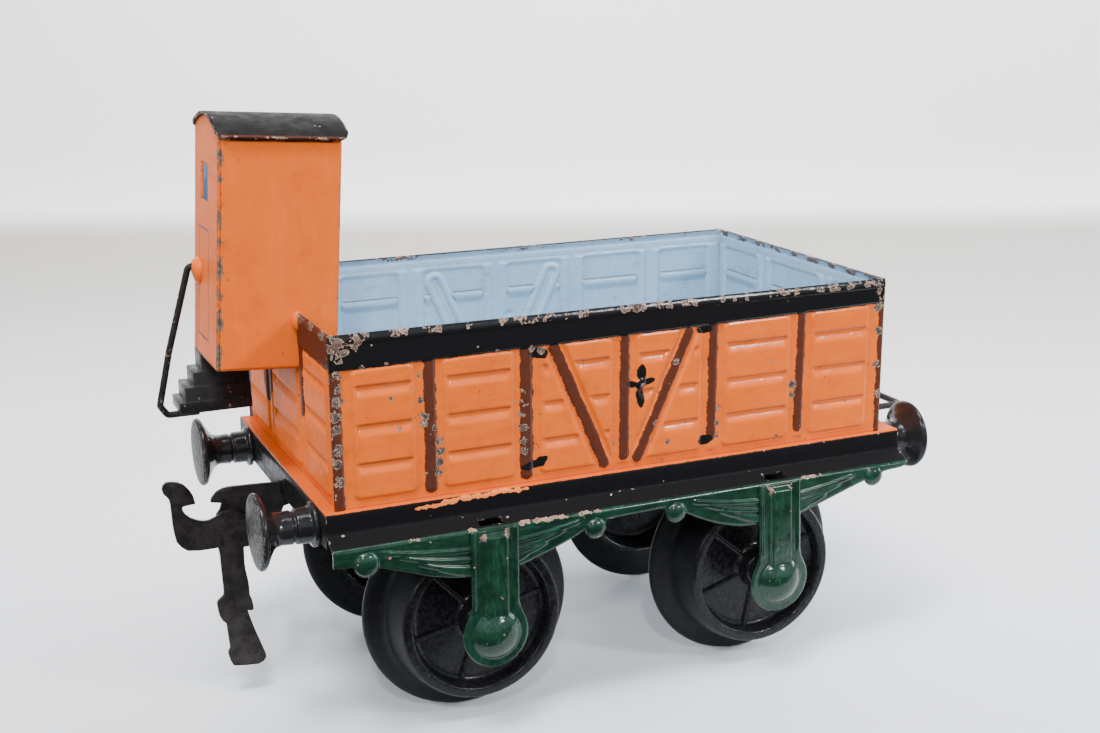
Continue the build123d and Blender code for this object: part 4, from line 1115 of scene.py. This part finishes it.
def hut_end():
    wv = (-2.95, 2.95)
    ww = (27.9, 34.5)
    vs = np.unique(np.concatenate([np.linspace(V0, wv[0], 30), np.linspace(wv[0], wv[1], 14), np.linspace(wv[1], V1, 24)]))
    rows = []
    # rows below, beside and above the window; the top rows follow the arch
    fixed = np.unique(np.concatenate([np.linspace(0, ww[0], 60), np.linspace(ww[0], ww[1], 18)]))
    upper = np.linspace(0, 1, 20)[1:]
    V = np.repeat(vs[:, None], len(fixed) + len(upper), 1)
    W = np.zeros_like(V)
    W[:, :len(fixed)] = fixed
    W[:, len(fixed):] = ww[1] + (top_w(vs)[:, None] - ww[1]) * upper
    hole = np.zeros((len(vs) - 1, W.shape[1] - 1), bool)
    vc = (vs[:-1] + vs[1:]) / 2
    for j in range(len(fixed) - 1):
        wc = (fixed[j] + fixed[j + 1]) / 2
        if ww[0] < wc < ww[1]:
            hole[(vc > wv[0]) & (vc < wv[1]), j] = True
    ed = np.minimum(V - V0, V1 - V)
    U = 0.25 * (1 - smooth(ed / 0.5)) ** 2
    P = hut_xyz(U, V, W)
    d1 = np.maximum(np.abs(V - 0.25) - 4.05, np.abs(W - 13.4) - 9.7)
    lw = np.interp(W, [0, 2, 5, 12, 18, 22, 30, 36, 41], [0.8, 0.75, 0.62, 0.66, 0.7, 0.5, 0.5, 0.62, 0.6])
    wear = (lw + 0.16) * (1 - smooth((V - V0 - 0.2) / 1.6))
    wear = np.maximum(wear, 0.5 * (1 - smooth((V1 - V) / 0.8)))
    wd = np.hypot(np.maximum(np.abs(V) - 2.95, 0), np.maximum(np.abs(W - 31.2) - 3.3, 0))
    wear = np.maximum(wear, 0.6 * (1 - smooth(wd / 0.6)))
    wear = np.maximum(wear, 0.55 * (1 - smooth(W / 0.8)))
    ob = make("hut_end_plate", P.reshape(-1, 3), grid(len(vs), W.shape[1], hole, flip=True), {"wear": wear, "door": d1, "dark": np.full(V.shape, -1.0),
              "groove_shade": np.zeros(V.shape), "hollow": np.zeros(V.shape)}, (HUTE, INSIDE))
    solidify(ob, 0.48, -1.0, mat_off=1)
    carried(ob, "orange_enamel", "hut_outer_end")


def hut_roof():
    hw = 10.7
    a_max = math.asin(hw / RR)
    u0, u1 = -0.5, HL + 1.1
    rc = 2.2
    na, nu = 61, 60
    A = np.sin(np.linspace(-math.pi / 2, math.pi / 2, na)) * a_max
    arc = A * (RR + 0.6)
    smax = a_max * (RR + 0.6)
    dist = smax - np.abs(arc)
    cut = np.where(dist < rc, rc - np.sqrt(np.maximum(rc * rc - (rc - dist) ** 2, 0)), 0)
    T = np.linspace(0, 1, nu)
    lo = u0 + np.minimum(cut, rc) * 0.9
    hi = u1 - np.minimum(cut, rc) * 1.0
    U = lo[:, None] + (hi - lo)[:, None] * T[None, :]
    AA = np.repeat(A[:, None], nu, 1)
    # an old dent or two
    dent = -0.18 * np.exp(-(((U - 15) / 3) ** 2 + ((AA * RR - (-6)) / 3) ** 2)) - 0.12 * np.exp(-(((U - 5) / 2) ** 2 + ((AA * RR - (-3)) / 2.5) ** 2))
    Ro = RR + 0.58 + dent
    V = VC + Ro * np.sin(AA)
    W = APEX - RR + Ro * np.cos(AA)
    P = hut_xyz(U, V, W)
    ddx = np.minimum(U - lo[:, None], hi[:, None] - U)
    ed = np.minimum(ddx, (smax - np.abs(AA) * (RR + 0.6)))
    wear = (0.58 + 0.12 * np.sin(U * 0.8) + 0.14 * smooth((np.abs(U - 10.5) - 7) / 3)) * (1 - smooth(ed / 0.7))
    lip = 1 - smooth((smax - np.abs(AA) * (RR + 0.6) - 0.25) / 0.5)
    ob = make("hut_roof_bent", P.reshape(-1, 3), grid(na, nu, flip=True), {"wear": wear, "dark": lip}, (ROOF,))
    solidify(ob, 0.56, -1.0)
    carried(ob, "black_enamel", "hut_roof")


hut_wrap()
hut_end()
hut_roof()

# ------------------------------------------------------------------ steps, handrail, solder
carried(from_cad("steps", "steps_folded", 0.16, 2, (STEP,)), "black_enamel", "steps")
carried(from_cad("handrail", "handrail_bent", 0.0, 1, (WIRE,), 50), "black_enamel", "handrail")


def lump():
    n, m = 48, 24
    face = HO + HW * 15.2
    verts, faces = [], []
    for j in range(m + 1):
        ph = (j / m) * math.pi / 2
        for i in range(n):
            t = 2 * math.pi * i / n
            rr = 2.15 * math.cos(ph) * (1 + 0.10 * math.sin(2 * t + 0.6) + 0.06 * math.sin(3 * t))
            hh = 1.55 * math.sin(ph) * (1 + 0.12 * math.sin(t))
            p = face - HU * hh + HW * (rr * 1.12 * math.sin(t) - 0.15)
            verts.append((p[0], 4.0 + rr * math.cos(t), p[2]))
    for j in range(m):
        for i in range(n):
            k = (i + 1) % n
            faces.append((j * n + i, j * n + k, (j + 1) * n + k, (j + 1) * n + i))
    faces.append(tuple(range(n)))
    ob = make("solder_lump_painted", verts, faces, {"wear": [0.0] * len(verts), "door": [9.0] * len(verts), "dark": [-1.0] * len(verts)}, (HUT,))
    bm = bmesh.new()
    bm.from_mesh(ob.data)
    bmesh.ops.remove_doubles(bm, verts=bm.verts, dist=1e-6)
    bmesh.ops.recalc_face_normals(bm, faces=bm.faces)
    bm.to_mesh(ob.data)
    bm.free()
    shade(ob, 60)
    carried(ob, "orange_enamel", "solder_lump")


lump()


def solder_run():
    # solder and paint smoothed over the joint of the end wall's rail and the hut's side
    c = Vector((-55.35, V0 - 0.25, 73.6))
    n, m = 28, 14
    verts, faces = [], []
    for j in range(m + 1):
        ph = math.pi * j / m - math.pi / 2
        for i in range(n):
            t = 2 * math.pi * i / n
            k = 1 + 0.12 * math.sin(2 * t + 1) + 0.08 * math.sin(3 * t)
            verts.append((c.x + 0.95 * k * math.cos(ph) * math.cos(t), c.y + 1.15 * k * math.cos(ph) * math.sin(t), c.z + 1.75 * math.sin(ph)))
    for j in range(m):
        for i in range(n):
            k = (i + 1) % n
            faces.append((j * n + i, j * n + k, (j + 1) * n + k, (j + 1) * n + i))
    ob = make("solder_run_painted", verts, faces, {"wear": [0.2] * len(verts), "door": [9.0] * len(verts), "dark": [-1.0] * len(verts)}, (HUT,))
    bm = bmesh.new()
    bm.from_mesh(ob.data)
    bmesh.ops.remove_doubles(bm, verts=bm.verts, dist=1e-6)
    bmesh.ops.recalc_face_normals(bm, faces=bm.faces)
    bm.to_mesh(ob.data)
    bm.free()
    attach(ob, "wagon")


solder_run()

# ------------------------------------------------------------------ couplings
carried(from_cad("hook", "hook_stamped", 0.13, 2, (BLUED,), 50), "blued_steel", "hook", body="coupling_hook")
carried(from_cad("coupling_plate", "coupling_plate_stamped", 0.12, 2, (BLUED,), 50), "blued_steel", "coupling_plate")
carried(from_cad("hook_rivet", "hook_rivet_peened", 0.08, 2, (BLUED,)), "blued_steel", "hook_rivet")
carried(from_cad("link_bracket", "link_bracket_folded", 0.12, 2, (BLUED,)), "blued_steel", "link_bracket")
carried(from_cad("link", "link_wire", 0.0, 1, (BLUED,), 50), "blued_steel", "link", body="coupling_link")

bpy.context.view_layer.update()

# ------------------------------------------------------------------ table, backdrop, light, camera
YAW, PITCH, ROLL = 0.4111, 0.2577, -0.008
CAM = Vector((-0.11927, -0.26771, 0.13374))
fwd_h = Vector((math.sin(YAW), math.cos(YAW), 0))
right_h = Vector((math.cos(YAW), -math.sin(YAW), 0))


def sweep_floor():
    # table top running into a card standing behind, with a soft fold between them
    prof = []
    d0 = 0.80
    for k in range(0, 7):
        a = math.pi / 2 * k / 6
        prof.append((0.232 - 0.004 * math.sin(math.pi / 2 - a) , -0.004 + 0.004 * math.sin(a)))
    for d in np.linspace(0.24, d0 - 0.04, 24):
        prof.append((d, 0.0))
    for k in range(1, 13):
        a = math.pi / 2 * k / 12
        prof.append((d0 - 0.04 + 0.04 * math.sin(a), 0.04 - 0.04 * math.cos(a)))
    for h in np.linspace(0.06, 1.6, 20):
        prof.append((d0, h))
    W = 2.2
    verts, faces = [], []
    base = Vector((CAM.x, CAM.y, 0))
    cols = np.linspace(-W, W, 9)
    prof.insert(0, (0.228, -0.03))
    for (d, h) in prof:
        for c in cols:
            p = base + fwd_h * d + right_h * c
            verts.append((p.x / MM, p.y / MM, h / MM))
    nc = len(cols)
    for i in range(len(prof) - 1):
        for j in range(nc - 1):
            faces.append((i * nc + j, i * nc + j + 1, (i + 1) * nc + j + 1, (i + 1) * nc + j))
    fl = make("table_and_card", verts, faces, {}, (FLOORM, CARD))
    for p in fl.data.polygons:
        p.material_index = 1 if p.center.z > 0.001 else 0


FLOORM, CARD = mat_floor(), mat_backdrop()
sweep_floor()


def area(name, loc, target, size, power, color=(1, 1, 1), size_y=None):
    li = bpy.data.lights.new(name, "AREA")
    li.energy, li.color = power, color
    li.shape = "RECTANGLE"
    li.size, li.size_y = size, size_y or size
    ob = bpy.data.objects.new(name, li)
    COL.objects.link(ob)
    ob.location = loc
    ob.rotation_mode = "QUATERNION"
    ob.rotation_quaternion = (Vector(target) - Vector(loc)).to_track_quat("-Z", "Y")
    return ob


C0 = Vector((0, 0, 0.05))
area("top_soft", (-0.26, -0.26, 0.80), C0, 0.20, 6.2, (0.985, 0.99, 1.0))
area("front_high", (0.40, -0.64, 0.43), C0, 0.11, 3.8, (1.0, 0.995, 0.985))
area("key_left", (-0.85, -0.34, 0.50), C0, 0.24, 3.0, (1.0, 0.985, 0.96))
area("spot_left", (-0.30, -0.70, 0.60), C0, 0.05, 3.0, (1.0, 0.995, 0.99))
area("low_right", Vector((CAM.x, CAM.y, 0.31)) + fwd_h * 0.60 + right_h * 0.66, Vector((0.0, 0.0, 0.0)), 0.34, 5.4, (0.82, 0.91, 1.0))
# daylight that finds its way into the hut
inner = bpy.data.lights.new("hut_daylight", "POINT")
inner.energy, inner.shadow_soft_size, inner.color = 0.0035, 0.0012, (0.86, 0.84, 1.0)
io = bpy.data.objects.new("hut_daylight", inner)
COL.objects.link(io)
io.location = [float(c) * MM for c in hut_xyz(np.array(2.6), np.array(-6.8), np.array(31.0))]
wc = Vector((CAM.x, CAM.y, 0)) + fwd_h * 0.80
cl = area("card_light", wc - fwd_h * 0.55 + Vector((0, 0, 0.62)), wc + Vector((0, 0, 0.20)), 0.4, 5.0, (1.0, 0.995, 1.0))
cl.data.spread = math.radians(110)

world = bpy.data.worlds.new("room")
bpy.context.scene.world = world
world.use_nodes = True
wt = world.node_tree
wt.nodes.clear()
wo = wt.nodes.new("ShaderNodeOutputWorld")
bg = wt.nodes.new("ShaderNodeBackground")
tcw = wt.nodes.new("ShaderNodeTexCoord")
sep = wt.nodes.new("ShaderNodeSeparateXYZ")
ramp = wt.nodes.new("ShaderNodeValToRGB")
wt.links.new(tcw.outputs["Generated"], sep.inputs[0])
wt.links.new(sep.outputs[2], ramp.inputs[0])
ramp.color_ramp.elements[0].position = 0.0
ramp.color_ramp.elements[0].color = (0.10, 0.10, 0.10, 1)
ramp.color_ramp.elements[1].position = 1.0
ramp.color_ramp.elements[1].color = (0.10, 0.12, 0.15, 1)
for pos, col in ((0.06, (0.74, 0.78, 0.83, 1)), (0.40, (1.12, 1.26, 1.42, 1)), (0.75, (0.42, 0.50, 0.60, 1))):
    el = ramp.color_ramp.elements.new(pos)
    el.color = col
wt.links.new(ramp.outputs[0], bg.inputs[0])
bg.inputs[1].default_value = 1.08
wt.links.new(bg.outputs[0], wo.inputs[0])

f = Vector((math.sin(YAW) * math.cos(PITCH), math.cos(YAW) * math.cos(PITCH), -math.sin(PITCH)))
u = right_h.cross(f)
r2 = right_h * math.cos(ROLL) + u * math.sin(ROLL)
u2 = -right_h * math.sin(ROLL) + u * math.cos(ROLL)
cam = bpy.data.cameras.new("view")
cam.sensor_width = 36.0
cam.lens = 50.30
cam.clip_start, cam.clip_end = 0.01, 10.0
cam.dof.use_dof = False
co = bpy.data.objects.new("view", cam)
COL.objects.link(co)
rot = Matrix(((r2.x, u2.x, -f.x), (r2.y, u2.y, -f.y), (r2.z, u2.z, -f.z)))
co.matrix_world = Matrix.Translation(CAM) @ rot.to_4x4()
bpy.context.scene.camera = co
